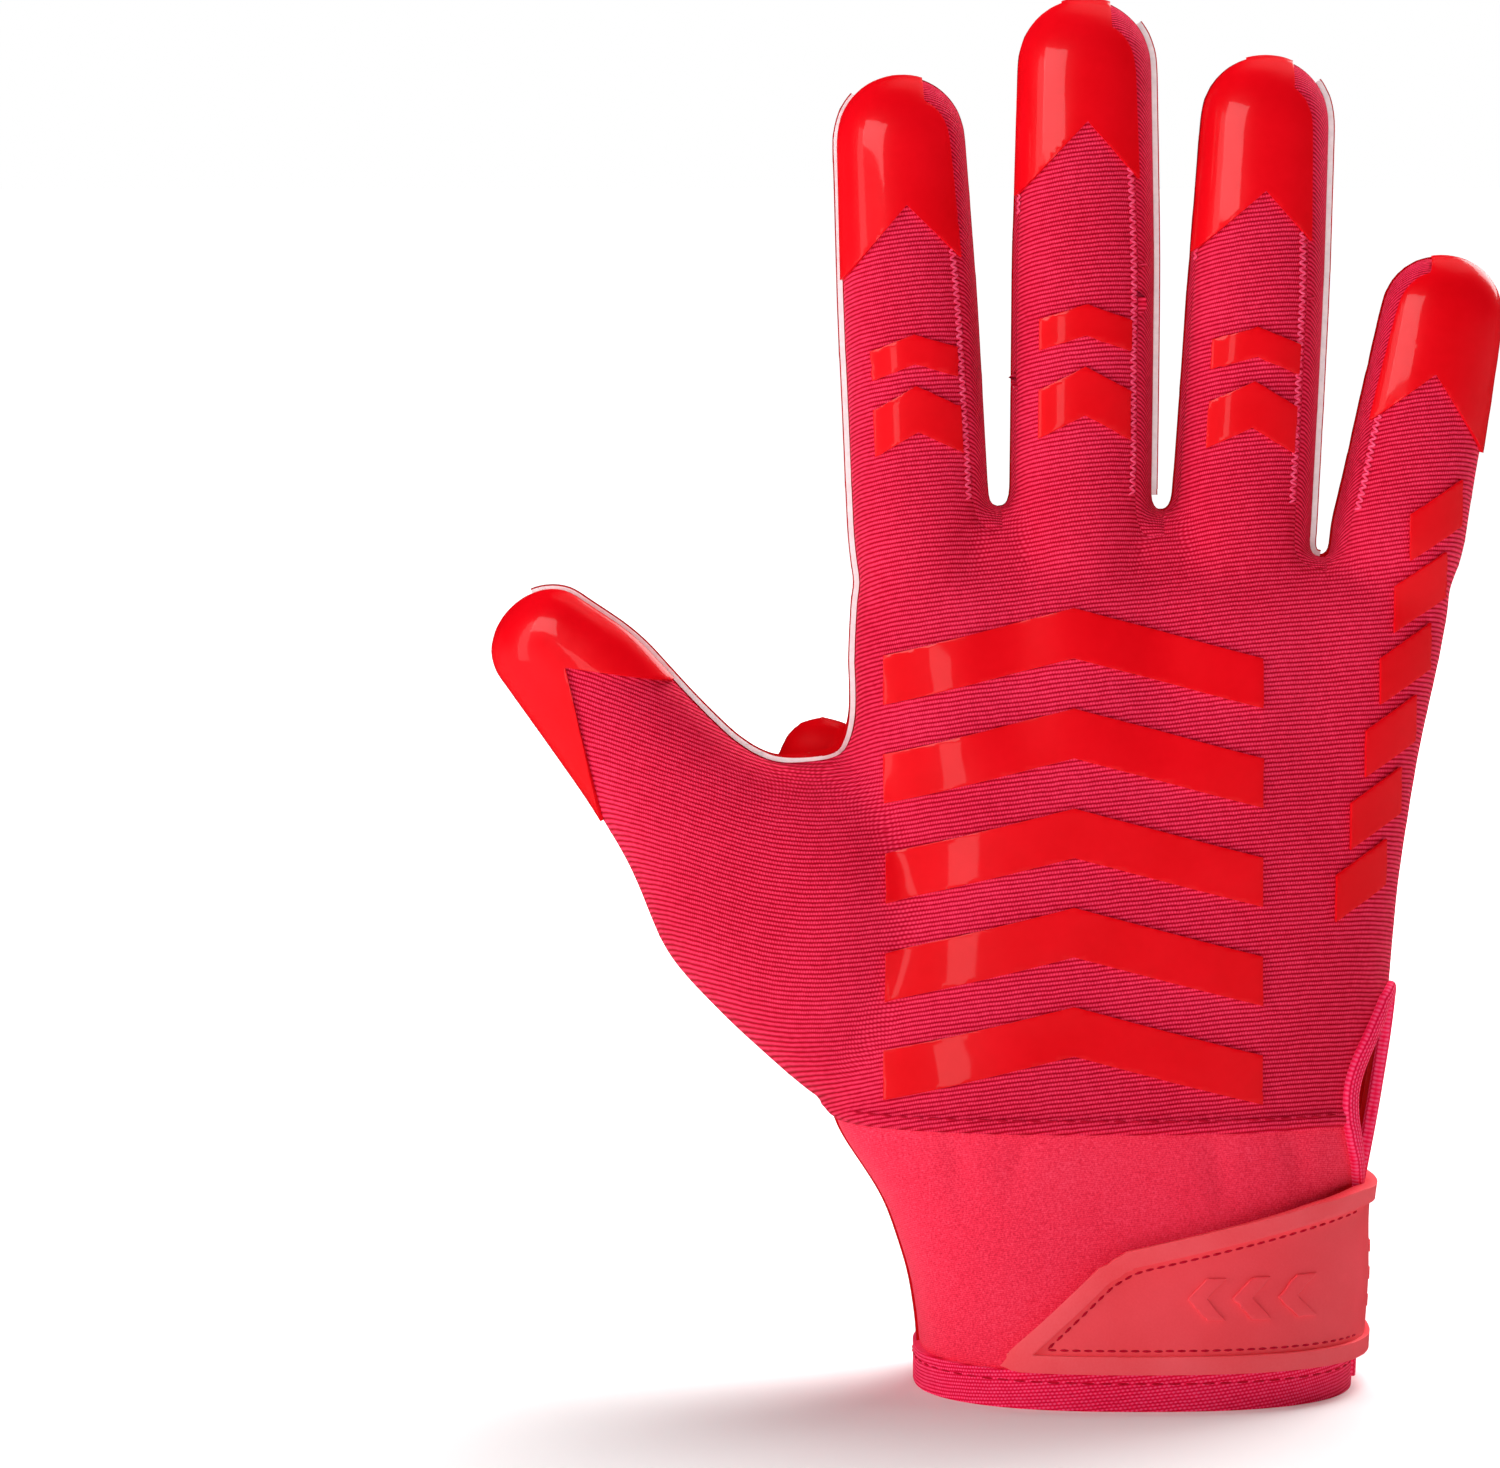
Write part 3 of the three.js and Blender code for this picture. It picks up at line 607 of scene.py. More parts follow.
# %% Seams and thickness
def draw_in(piece, depth, width):
    """Pulls the rim of an open panel inwards, fading over the width."""
    block_size = 4000
    mesh = bmesh.new()
    mesh.from_mesh(piece.data)
    rim = np.array([vertex.co for vertex in mesh.verts if vertex.is_boundary])
    mesh.free()
    points = points_of(piece)
    away = np.empty(len(points))
    for start in range(0, len(points), block_size):
        block = points[start:start + block_size, None, :] - rim[None, :, :]
        away[start:start + block_size] = np.sqrt((block ** 2).sum(axis=2).min(axis=1))
    push(piece, -depth * unit(1 - away / width) ** 2)


def thicken(piece, thickness, offset=-1):
    """Gives a sheet its thickness, inwards at offset -1 and outwards at 1."""
    apply_modifier(piece, "SOLIDIFY", thickness=thickness, offset=offset, use_even_offset=False)


def raise_sheet(piece, lift, thickness):
    push(piece, lift)
    thicken(piece, thickness, 1)


def round_edges(piece, width, segments=3):
    apply_modifier(piece, "BEVEL", width=width, segments=segments, limit_method="ANGLE",
                   angle_limit=math.radians(50))


back = copy_of(back_face, "back")
for piece, rise, pull in ((back, 0, 0.35), (cuff, -0.35 * mm, 0.2), (palm, 0.15 * mm, 0.1)):
    push(piece, rise)
    draw_in(piece, pull * mm, 1.8 * mm)
for piece in fourchettes:
    draw_in(piece, 0.3 * mm, 1.5 * mm)
print("panels drawn in at their seams")

# %% [markdown]
# The knit's lower edge is folded under and stands a little proud of the cuff, with a round edge.

# %% Folded hem of the knit above the cuff
fold_height, fold_proud = 3.2 * mm, 0.75
share = (points_of(back)[:, 2] - cuff_height) / fold_height
proud = np.where(share < 1, fold_proud * np.sqrt(unit(1 - (1 - unit(share * 2.4)) ** 2)), 0)
push(back, proud * unit((1 - share) * 4) * mm)
print("points in the fold:", int((share < 1).sum()))

# %% [markdown]
# The knit's ribs run across the glove, about 1.3 to a millimetre, and each is a row of small
# stitches. A map of the cloth's own directions carries them: u runs along the ribs and v across
# them, both in millimetres, so the ribs lean on the thumb and arch over each finger.

# %% Map of the knit
lean_x = np.linspace(-140, 80, 221)
lean_share = unit((lean_x + 74) / 26)
lean_slope = 0.31 - 0.42 * lean_share * lean_share * (3 - 2 * lean_share)
lean = np.cumsum(lean_slope) * (lean_x[1] - lean_x[0])


def set_map(piece, u, v):
    """Writes u and v of each point into the piece's map."""
    corners = np.empty(len(piece.data.loops), dtype=int)
    piece.data.loops.foreach_get("vertex_index", corners)
    layer = piece.data.uv_layers.new(name="knit")
    layer.data.foreach_set("uv", np.stack([u[corners], v[corners]], axis=1).ravel())


def knit_map(piece, arch=0.28, diagonal=0):
    """Maps a panel: ribs lean with x and arch over the depth of each limb."""
    x, y, z = points_of(piece).T / mm
    out = normals_of(piece)[:, 0]
    front = np.interp(z, [0, 110, 150], [28, 17, 10.5])
    v = z + np.interp(x, lean_x, lean) + arch * (y + front) + diagonal * y
    set_map(piece, x + (y + front) * out, v)


print("map of the knit ready")

# %% Side vent and the thumb's gusset
vent_low = 0.75 * cuff_height


def vent_open(z):
    """The vent's opening at a height: a slit that swells to a lens towards the back."""
    share = unit((z - vent_low) / (vent_top - vent_low))
    return slit_width + (vent_width - slit_width) * np.sin(math.pi * share)


for piece in (back, cuff):
    x, y, z = face_centres(piece).T
    keep_faces(piece, ~((x > 0) & (y > -vent_tape * 1.5 - vent_open(z)) & (z < vent_top + 1 * mm)))

crotch_place = thumb_point(0.351, 0.709)
gusset_outline = [
    (knuckle_left + 0.1 * thumb_width, crotch_place[2] - 0.5 * thumb_width),
    (knuckle_left - 0.02 * thumb_width, crotch_place[2] + 0.08 * thumb_width),
    (crotch_place[0] - 0.25 * thumb_width, crotch_place[2] + 0.08 * thumb_width),
    (crotch_place[0] - 0.25 * thumb_width, crotch_place[2] + 0.02 * thumb_width),
]
cut_outline(palm, gusset_outline, lambda c: (c[:, 0] < -30 * mm) & (c[:, 2] > 60 * mm))
in_gusset = inside(gusset_outline, face_centres(palm))
gusset = part_of(palm, "gusset", in_gusset)
keep_faces(palm, ~in_gusset)
for piece in (back, cuff, gusset):
    knit_map(piece)
for piece in fourchettes:
    knit_map(piece, diagonal=0.9)
for piece in (back, cuff, palm, gusset, *fourchettes):
    thicken(piece, wall)
print("panels thickened")

# %% [markdown]
# The caps and prints are poured silicone that lies on the knit. Each is a copy of the knit's
# own surface, cut to its outline, lifted, thickened outwards and given a rounded edge, so it
# follows every curve of the cloth below it.

# %% Prints from the skin
print_lift, print_thickness, print_edge = 0.05 * mm, 0.72 * mm, 0.16 * mm


def piece_on_skin(name, source, outline, where=lambda c: True, edge=print_edge):
    """A raised piece cut from a copy of a surface, in the shape of the outline."""
    corners = np.array(outline)
    (low_x, low_z), (high_x, high_z) = corners.min(axis=0) - 2 * mm, corners.max(axis=0) + 2 * mm
    c = face_centres(source)
    near = (c[:, 0] > low_x) & (c[:, 0] < high_x) & (c[:, 2] > low_z) & (c[:, 2] < high_z)
    piece = part_of(source, name, near & where(c))
    cut_outline(piece, outline)
    c = face_centres(piece)
    keep_faces(piece, inside(outline, c) & where(c))
    raise_sheet(piece, print_lift, print_thickness)
    round_edges(piece, edge, 2)
    return piece


def field_x(share):
    return knuckle_left + (knuckle_right - knuckle_left) * share


def field_z(share):
    return cuff_height + (knuckle_height - cuff_height) * share


chevron_count = 5
chevron_left, chevron_right, chevron_low, chevron_high = 0.05, 0.66, 0.05, 0.9
pitch = (chevron_high - chevron_low) / chevron_count
thick, rise = pitch * 0.5, pitch * 0.5
chevron_middle = (chevron_left + chevron_right) / 2
prints = {}
for index in range(chevron_count):
    low = chevron_low + index * pitch
    high = low + thick
    corners = [(chevron_left, low), (chevron_middle, low + rise), (chevron_right, low),
               (chevron_right, high), (chevron_middle, high + rise), (chevron_left, high)]
    prints[f"print_chevron_{index + 1}"] = [(field_x(x), field_z(z)) for x, z in corners]

# %% Bars on the fingers and slashes on the little-finger side
bar_rows = [(0.2, 0.34), (0.36, 0.22)]  # along, thick
bar_width = 0.62
for name in names[:3]:
    for row, (place, thick) in enumerate(bar_rows, start=1):
        corners = [(-1, 0), (0, thick / 2), (1, 0), (1, thick), (0, thick * 1.5), (-1, thick)]
        prints[f"print_{name}_{row}"] = [finger_spot(fingers[name], side * bar_width / 2, place, up)
                                         for side, up in corners]
slash_count = 6
wide, tall, slant = 0.085 * knuckle_span, 0.055 * knuckle_height, 0.04 * knuckle_height
for index in range(slash_count):
    share = index / (slash_count - 1)
    x, z = field_x(0.78 + 0.12 * share), field_z(0.36 + 0.62 * share)
    outline = [(x, z), (x + wide, z + slant), (x + wide, z + slant + tall), (x, z + tall)]
    prints[f"print_slash_{index + 1}"] = outline
print_pieces = {name: piece_on_skin(name.replace("print_", "raised_"), back_face, outline)
                for name, outline in prints.items()}
print("prints:", len(print_pieces), "faces:", sum(len(p.data.polygons) for p in print_pieces.values()))

# %% Fingertip caps
cap_seam, cap_edge = -2.4 * mm, 0.36 * mm
caps = {}
cap_face = part_of(back_face, "cap_face", face_centres(back_face)[:, 2] > 80 * mm)
cut(cap_face, (0, cap_seam, 0), (0, 1, 0))
keep_faces(cap_face, face_centres(cap_face)[:, 1] < cap_seam)
for name, finger in fingers.items():
    _, across, root = finger_frame(finger)
    high, low = finger["cap"] - finger["notch"], finger["cap"] + finger["notch"]
    corners = [(-1, low), (0, high), (1, low), (1, -1), (-1, -1)]
    outline = [finger_spot(finger, right, 1, -drop) for right, drop in corners]
    caps[f"cap_{name}"] = piece_on_skin(
        f"tip_{name}", cap_face, outline,
        lambda c: np.abs((c - root) @ across) < 0.62 * finger["width"], cap_edge)
outline = [x_z(thumb_point(1, across) - thumb_along * drop * thumb_width)
           for across, drop in [(-1, 2.22), (0, 0.66), (1, 2.04), (1, -1), (-1, -1)]]
caps["cap_thumb"] = piece_on_skin("tip_thumb", cap_face, outline, edge=cap_edge)
print("caps:", len(caps))

# %% [markdown]
# The wrist strap is one moulding of soft rubber: a tapered patch on the back that runs round the
# little-finger side to a pull tab on the palm side. A sheet of the skin gives its body. The rim,
# the tab's ribs and the marks are raised on it as thicker pieces of the same sheet.

# %% Strap outlines
def strap_points(corners, length):
    foot = hem_height + 0.3 * mm
    return [(wrist_edge - along * length, foot + up * strap_height) for along, up in corners]


def inset(outline, distance):
    """Moves each edge of an outline inwards; the corners keep their order."""
    points = np.array(outline)
    area = sum(x1 * z2 - x2 * z1 for (x1, z1), (x2, z2) in edges_of(outline))
    turned = []
    for index in range(len(points)):
        before, here, after = points[index - 1], points[index], points[(index + 1) % len(points)]
        into = (here - before) / np.linalg.norm(here - before)
        away = (after - here) / np.linalg.norm(after - here)
        side = np.array((-into[1], into[0])) + np.array((-away[1], away[0]))
        turned.append(tuple(here + math.copysign(1, area) * side * distance * 2 / (side @ side)))
    return turned


def blunt(outline, reach):
    """Replaces the first corner by three points on a curve."""
    here = Vector(outline[0])
    start = here + (Vector(outline[-1]) - here).normalized() * reach
    stop = here + (Vector(outline[1]) - here).normalized() * reach
    return [tuple(start), tuple((start + here * 2 + stop) / 4), tuple(stop)] + outline[1:]


patch = strap_points([(1, 0), (-1, 0), (-1, 1), (0.02, 1), (0.28, 0.87), (0.64, 0.7), (0.72, 0.6)],
                     strap_length)
tab = strap_points([(0.86, 0), (-2, 0), (-2, 1), (0.05, 1), (0.9, 0.66), (1, 0.56), (1, 0.08)],
                   tab_length)
strap_seat, strap_thickness, rim_height = 1.0 * mm, 1.6 * mm, 0.9 * mm
wrist_skin = part_of(skin, "wrist_skin", face_centres(skin)[:, 2] < 60 * mm)


def strap_layer(name, on_patch, on_tab, share, proud, edge=0.3 * mm, holes=((), ())):
    """A layer with an outline on the back and one on the palm side, less inner holes. It starts
    at a share of the strap's thickness and stands proud of the strap."""
    piece = copy_of(wrist_skin, name)
    for outline, side in ((on_patch, -1), (on_tab, 1), (holes[0], -1), (holes[1], 1)):
        cut_outline(piece, outline, lambda c: c[:, 1] * side > 0)
    c = face_centres(piece)
    keep = np.zeros(len(c), dtype=bool)
    for outline, hole, side in ((on_patch, holes[0], -1), (on_tab, holes[1], 1)):
        keep |= inside(outline, c) & ~inside(hole, c) & (c[:, 1] * side > 0)
    keep_faces(piece, keep)
    raise_sheet(piece, strap_seat + strap_thickness * share, strap_thickness * (1 - share) + proud)
    round_edges(piece, edge)
    return piece


patch_edge = blunt(patch, 5 * mm)
layers = [
    strap_layer("strap", patch_edge, tab, 0, 0, 0.5 * mm),
    strap_layer("strap_rim", patch_edge, tab, 0.4, rim_height, 1.0 * mm,
                holes=(inset(patch, strap_rim), inset(tab, strap_rim))),
]
for rib in range(1, 4):
    low = 0.12 + 0.16 * rib
    line = strap_points([(0.72, low - 0.12), (-1.2, low), (-1.2, low + 0.07), (0.72, low - 0.05)],
                        tab_length)
    layers.append(strap_layer(f"tab_rib_{rib}", (), line, 0.5, rim_height * 0.6))
for mark in range(3):
    start = 0.14 + 0.12 * mark
    arrow = strap_points([(start + 0.05, 0.3), (start, 0.3), (start + 0.05, 0.42), (start, 0.54),
                          (start + 0.05, 0.54), (start + 0.1, 0.42)], strap_length)
    layers.append(strap_layer(f"strap_mark_{mark}", arrow, (), 0.6, rim_height / 2, 0.15 * mm))
print("strap layers:", len(layers))

# %% [markdown]
# The hem is bound with a knitted tape that folds over the edge of the wrist opening. The side
# vent has the same tape doubled up its two edges and round its top. The hem is a lifted copy of
# the skin's lowest band. The vent's tape is swept along a path that is laid on the skin.

# %% Hem binding
tape_proud = 0.7 * mm
hem = part_of(skin, "hem", face_centres(skin)[:, 2] < hem_height)
x, y, _ = face_centres(hem).T
keep_faces(hem, ~((x > 0) & (y > -vent_tape - slit_width) & (y < -vent_tape)))
push(hem, tape_proud)
knit_map(hem, arch=0)
thicken(hem, wall + 2 * tape_proud)
round_edges(hem, 0.7 * mm)
print("hem faces:", len(hem.data.polygons))

# %% Points on the skin
skin_tree = BVHTree.FromPolygons([tuple(p) for p in points_of(skin)],
                                 [tuple(face.vertices) for face in skin.data.polygons])
ray_far = 200 * mm


def on_side(y, z):
    """The place and normal of the little-finger side of the skin at y and z."""
    place, normal, _, _ = skin_tree.ray_cast(Vector((ray_far, y, z)), Vector((-1, 0, 0)))
    return np.array(place), np.array(normal)


def on_skin(point):
    place, normal, _, _ = skin_tree.find_nearest(Vector(point))
    return np.array(place), np.array(normal)


def hit(start, direction):
    """The place where a ray meets the skin, or None."""
    place, _, _, _ = skin_tree.ray_cast(Vector(start), Vector(direction))
    return None if place is None else np.array(place)


def laid_on(points, side):
    """Points in x and z laid on the back (side -1) or the palm (side 1)."""
    places = [hit((x, side * ray_far, z), (0, -side, 0)) for x, z in points]
    return [place for place in places if place is not None]


def run_along(points):
    """The distance from the first point of a polyline to each of its points."""
    return np.concatenate(([0], np.cumsum(np.linalg.norm(np.diff(points, axis=0), axis=1))))


def even_path(points, step):
    """Points at even steps along a polyline."""
    points = np.array(points)
    run = run_along(points)
    stops = np.linspace(0, run[-1], max(2, int(round(run[-1] / step)) + 1))
    return np.stack([np.interp(stops, run, column) for column in points.T], axis=1)


# %% Vent binding
def sweep(name, path, normals, wide, tall):
    """A tape swept along a path: wide across the surface, tall along its normal."""
    tangents = np.gradient(path, axis=0)
    tangents /= np.linalg.norm(tangents, axis=1)[:, None]
    flat, proud = oval_waves(16, 2.6)
    rings = []
    for place, tangent, normal in zip(path, tangents, normals):
        normal = normal - tangent * (normal @ tangent)
        normal /= np.linalg.norm(normal)
        across = np.cross(tangent, normal)
        rings.append(place + flat[:, None] * across * wide / 2 + proud[:, None] * normal * tall / 2)
    return limb(name, rings)


vent_lift, vent_proud, vent_round = 0.25 * mm, 2.4 * mm, 1.5 * mm
heights = np.linspace(hem_height * 0.3, vent_top - vent_round, 40)
back_strand = [(-vent_tape * 1.5 - vent_open(z), z) for z in heights]
top_middle = -vent_tape - slit_width / 2
over_top = [(top_middle + math.sin(angle) * 2.2 * mm, heights[-1] + math.cos(angle) * 1.6 * mm)
            for angle in np.linspace(-math.pi / 2, math.pi / 2, 9)[1:-1]]
palm_strand = [(-vent_tape / 2, z) for z in heights[::-1]]
flat_path = even_path(back_strand + over_top + palm_strand, 1.2 * mm)
laid = [on_side(y, z) for y, z in flat_path]
vent_path = np.array([place + normal * vent_lift for place, normal in laid])
vent_normals = np.array([normal for _, normal in laid])
vent = sweep("vent", vent_path, vent_normals, vent_tape, vent_proud)
tape_points = points_of(vent)
nearest = np.array([np.argmin(((vent_path - point) ** 2).sum(axis=1)) for point in tape_points])
tape_across = np.cross(np.gradient(vent_path, axis=0), vent_normals)
tape_across /= np.linalg.norm(tape_across, axis=1)[:, None]
off_middle = ((tape_points - vent_path[nearest]) * tape_across[nearest]).sum(axis=1)
set_map(vent, run_along(vent_path)[nearest] / mm, off_middle / mm)
print("vent tape faces:", len(vent.data.polygons))

# %% [markdown]
# The palm's sheet has a pale foam core that shows as a thin white line where it was cut: along
# the index finger and the thumb, and on the right of the middle and ring fingers. The core is a
# narrow band of the skin at the outline, lifted, with the red silicone as a thinner band on it.

# %% Cut edge of the palm sheet
edge_low, edge_high = -0.55 * mm, 0.55 * mm
core_lift, core_thickness, film_thickness = 0.05 * mm, 0.9 * mm, 0.2 * mm


def finger_side(finger, low, high, near):
    """The half of a finger to the right of its middle line, as an outline."""
    return [finger_spot(finger, *row) for row in ((0, high), (0, low), (near, low), (0.75, high))]


valley = [finger_spot(fingers["index"], 0, 0.93), finger_spot(fingers["index"], 0, 0),
          (knuckle_left + 6 * mm, thumb_root[2]),
          x_z(thumb_point(0.3, 0)), x_z(thumb_point(0.98, 0.2)), (-140 * mm, 250 * mm)]
edge_outlines = [valley, finger_side(fingers["middle"], 0.1, 0.95, 0.56),
                 finger_side(fingers["ring"], -0.02, 0.95, 0.6)]
c = face_centres(skin)
edge_skin = part_of(skin, "edge_skin", (np.abs(c[:, 1]) < 3 * mm) & (c[:, 2] > 100 * mm))
for y in (edge_low, edge_high):
    cut(edge_skin, (0, y, 0), (0, 1, 0))
c = face_centres(edge_skin)
chosen = np.zeros(len(c), dtype=bool)
for outline in edge_outlines:
    chosen |= inside(outline, c) & (c[:, 1] > edge_low) & (c[:, 1] < edge_high)
keep_faces(edge_skin, chosen)
palm_core, palm_film = edge_skin, copy_of(edge_skin, "palm_film")
palm_core.name = "palm_core"
raise_sheet(palm_core, core_lift, core_thickness)
raise_sheet(palm_film, core_lift + core_thickness, film_thickness)
print("palm edge faces:", len(palm_core.data.polygons) + len(palm_film.data.polygons))

# %% [markdown]
# Stitches are sewn last. One stitch is modelled as a small rounded grain of thread. Each row then
# copies its mesh between two points on the cloth: slanting to and fro for the zigzag of the
# overlocked finger seams, and end to end for the straight rows.

# %% One stitch
stitch = added(bpy.ops.mesh.primitive_uv_sphere_add, "stitch", segments=6, ring_count=4, radius=0.5)
edit(stitch)
bpy.ops.transform.rotate(value=math.pi / 2, orient_axis="Y", center_override=(0, 0, 0))
leave_edit()
stitch_points = points_of(stitch)
stitch_faces = [tuple(face.vertices) for face in stitch.data.polygons]
bpy.data.objects.remove(stitch)
print("faces of a stitch:", len(stitch_faces))

# %% Rows of stitches
def sew(name, stitches, thick):
    """One mesh of many stitches; each is a start, an end and the cloth's normal there."""
    places, faces = [], []
    for start, end, normal in stitches:
        along = end - start
        across = np.cross(normal, along)
        across *= thick / np.linalg.norm(across)
        first = len(places) * len(stitch_points)
        faces += [tuple(corner + first for corner in face) for face in stitch_faces]
        places.append((start + end) / 2 + stitch_points @ np.array([along, across, normal * thick]))
    mesh = bpy.data.meshes.new(name)
    mesh.from_pydata(np.concatenate(places).tolist(), [], faces)
    piece = bpy.data.objects.new(name, mesh)
    bpy.context.scene.collection.objects.link(piece)
    face_outwards(piece)
    return piece


def running(points, lift, length=2.3 * mm, gap=0.7 * mm):
    """Straight stitches, end to end, along points near the skin."""
    row = []
    path = even_path(points, length + gap)
    for start, end in zip(path, path[1:]):
        (start, out), (end, _) = on_skin(start), on_skin(end)
        trim = (end - start) * gap / (length + gap) / 2
        row.append((start + trim + out * lift, end - trim + out * lift, out))
    return row


def zigzag(points, lift, step=0.62 * mm, width=1.5 * mm):
    """Slanting stitches, to and fro across a line on the skin."""
    row = []
    path = even_path(points, step)
    for index, (start, end) in enumerate(zip(path, path[1:])):
        (start, out), (end, _) = on_skin(start), on_skin(end)
        across = np.cross(out, end - start)
        across *= (1 if index % 2 else -1) * width / 2 / np.linalg.norm(across)
        row.append((start - across + out * lift, end + across + out * lift, out))
    return row


# %% Finger seams
ray_start, ray_reach, seam_drop, longest_jump = 0.66, 0.46, 0.9, 2 * mm
rows = []
for name, finger in fingers.items():
    along, across, root = finger_frame(finger)
    for side, depth in zip((-1, 1), strip_depths[name]):
        if depth:
            line, out = [], across * side
            for share in np.linspace(0.1, 0.93, 60):
                start = root + along * share * finger["length"] + out * ray_start * finger["width"]
                start[1] = -(depth + seam_drop) * mm
                point = hit(start, -out)
                close = point is not None and 0 < (point - root) @ out < ray_reach * finger["width"]
                if close and (not line or np.linalg.norm(point - line[-1]) < longest_jump):
                    line.append(point)
            rows += zigzag(line, 0.2 * mm)
finger_seams = sew("finger_seams", rows, 0.48 * mm)
print("stitches in the finger seams:", len(rows))

# %% Cuff, hem, strap and gusset rows
seam_z, seam_half = cuff_height + 2.5 * mm, 50 * mm
line = laid_on([(x, seam_z) for x in np.linspace(-seam_half, seam_half, 120)], -1)
vent_side = -vent_tape * 2 - vent_open(seam_z)
line = [point for point in line if point[0] < 0 or point[1] < vent_side]
cuff_row = running(line, 0.72 * mm)
hem_z, hem_far, slit_turn = hem_height * 0.74, 90 * mm, 0.22
hem_line = []
for turn in np.linspace(0, 2 * math.pi - slit_turn, 160):
    out = np.array((math.cos(turn), math.sin(turn), 0)) * hem_far
    hem_line.append(hit(out + (0, 0, hem_z), -out))
hem_row = running(hem_line, tape_proud + 0.02 * mm)
wrist_rows = sew("wrist_rows", cuff_row + hem_row, 0.42 * mm)

strap_rows, strap_top = [], strap_seat + strap_thickness + 0.02 * mm
for outline, side in ((patch, -1), (tab, 1)):
    loop = inset(outline, strap_rim + 0.9 * mm)
    path = even_path(loop + loop[:1], 0.8 * mm)
    line = laid_on(path[path[:, 0] < wrist_edge - 1.2 * mm], side)
    jumps = [1 + index for index in np.flatnonzero(np.diff(run_along(line)) > 8 * mm)]
    for start, end in zip([0] + jumps, jumps + [len(line)]):
        if end - start > 4:
            strap_rows += running(line[start:end], strap_top, 1.6 * mm, 0.4 * mm)
strap_thread = sew("strap_thread", strap_rows, 0.45 * mm)

gusset_edge = inset(gusset_outline, -1.3 * mm)
gusset_rows = []
for corner in (1, 3):
    line = laid_on(even_path([gusset_edge[0], gusset_edge[corner]], 1 * mm), 1)
    if len(line) > 3:
        gusset_rows += running(line, 0.2 * mm, 1.6 * mm, 0.6 * mm)
gusset_thread = sew("gusset_thread", gusset_rows, 0.45 * mm)
print("stitches on the wrist:", len(cuff_row) + len(hem_row), "strap:", len(strap_rows),
      "gusset:", len(gusset_rows))

# %% [markdown]
# The finishes are built from nodes. A helper adds one node and fills its inputs with numbers or
# with the sockets of other nodes, so that a cell reads like the wiring it makes.

# %% Node helpers
def node(material, kind, values, **settings):
    new = material.node_tree.nodes.new(kind)
    for key, value in settings.items():
        setattr(new, key, value)
    for key, value in values.items():
        if isinstance(value, bpy.types.NodeSocket):
            material.node_tree.links.new(value, new.inputs[key])
        else:
            new.inputs[key].default_value = value
    return new


def calc(material, operation, *inputs):
    """A math node; an input may be a nested formula of the same form."""
    values = {place: calc(material, *value) if isinstance(value, tuple) else value
              for place, value in enumerate(inputs)}
    return node(material, "ShaderNodeMath", values, operation=operation).outputs[0]


def start_material(name, roughness, **sockets):
    material = bpy.data.materials.new(name)
    material.use_nodes = True
    shader = material.node_tree.nodes["Principled BSDF"]
    shader.inputs["Roughness"].default_value = roughness
    for socket, value in sockets.items():
        shader.inputs[socket.replace("_", " ")].default_value = value
    return material, shader


def noise(material, scale, detail=2):
    """Noise in the piece's own space; scale counts its cells in a metre."""
    place = node(material, "ShaderNodeTexCoord", {}).outputs["Object"]
    values = {"Vector": place, "Scale": scale, "Detail": detail}
    return node(material, "ShaderNodeTexNoise", values).outputs["Fac"]


def two_noises(material, broad, fine):
    """A fine noise laid on a broad one; each is a scale, a detail and a share."""
    (scale, detail, share), (fine_scale, fine_detail, fine_share) = broad, fine
    return calc(material, "MULTIPLY_ADD", noise(material, scale, detail), share,
                ("MULTIPLY", noise(material, fine_scale, fine_detail), fine_share))


def coloured(material, shader, factor, stops):
    ramp = node(material, "ShaderNodeValToRGB", {"Fac": factor})
    while len(ramp.color_ramp.elements) < len(stops):
        ramp.color_ramp.elements.new(0.5)
    for element, (place, colour) in zip(ramp.color_ramp.elements, stops):
        element.position, element.color = place, (*colour, 1)
    material.node_tree.links.new(ramp.outputs["Color"], shader.inputs["Base Color"])


def bumped(material, shader, height, strength, distance):
    values = {"Height": height, "Strength": strength, "Distance": distance}
    bump = node(material, "ShaderNodeBump", values)
    material.node_tree.links.new(bump.outputs["Normal"], shader.inputs["Normal"])


print("node helpers ready")
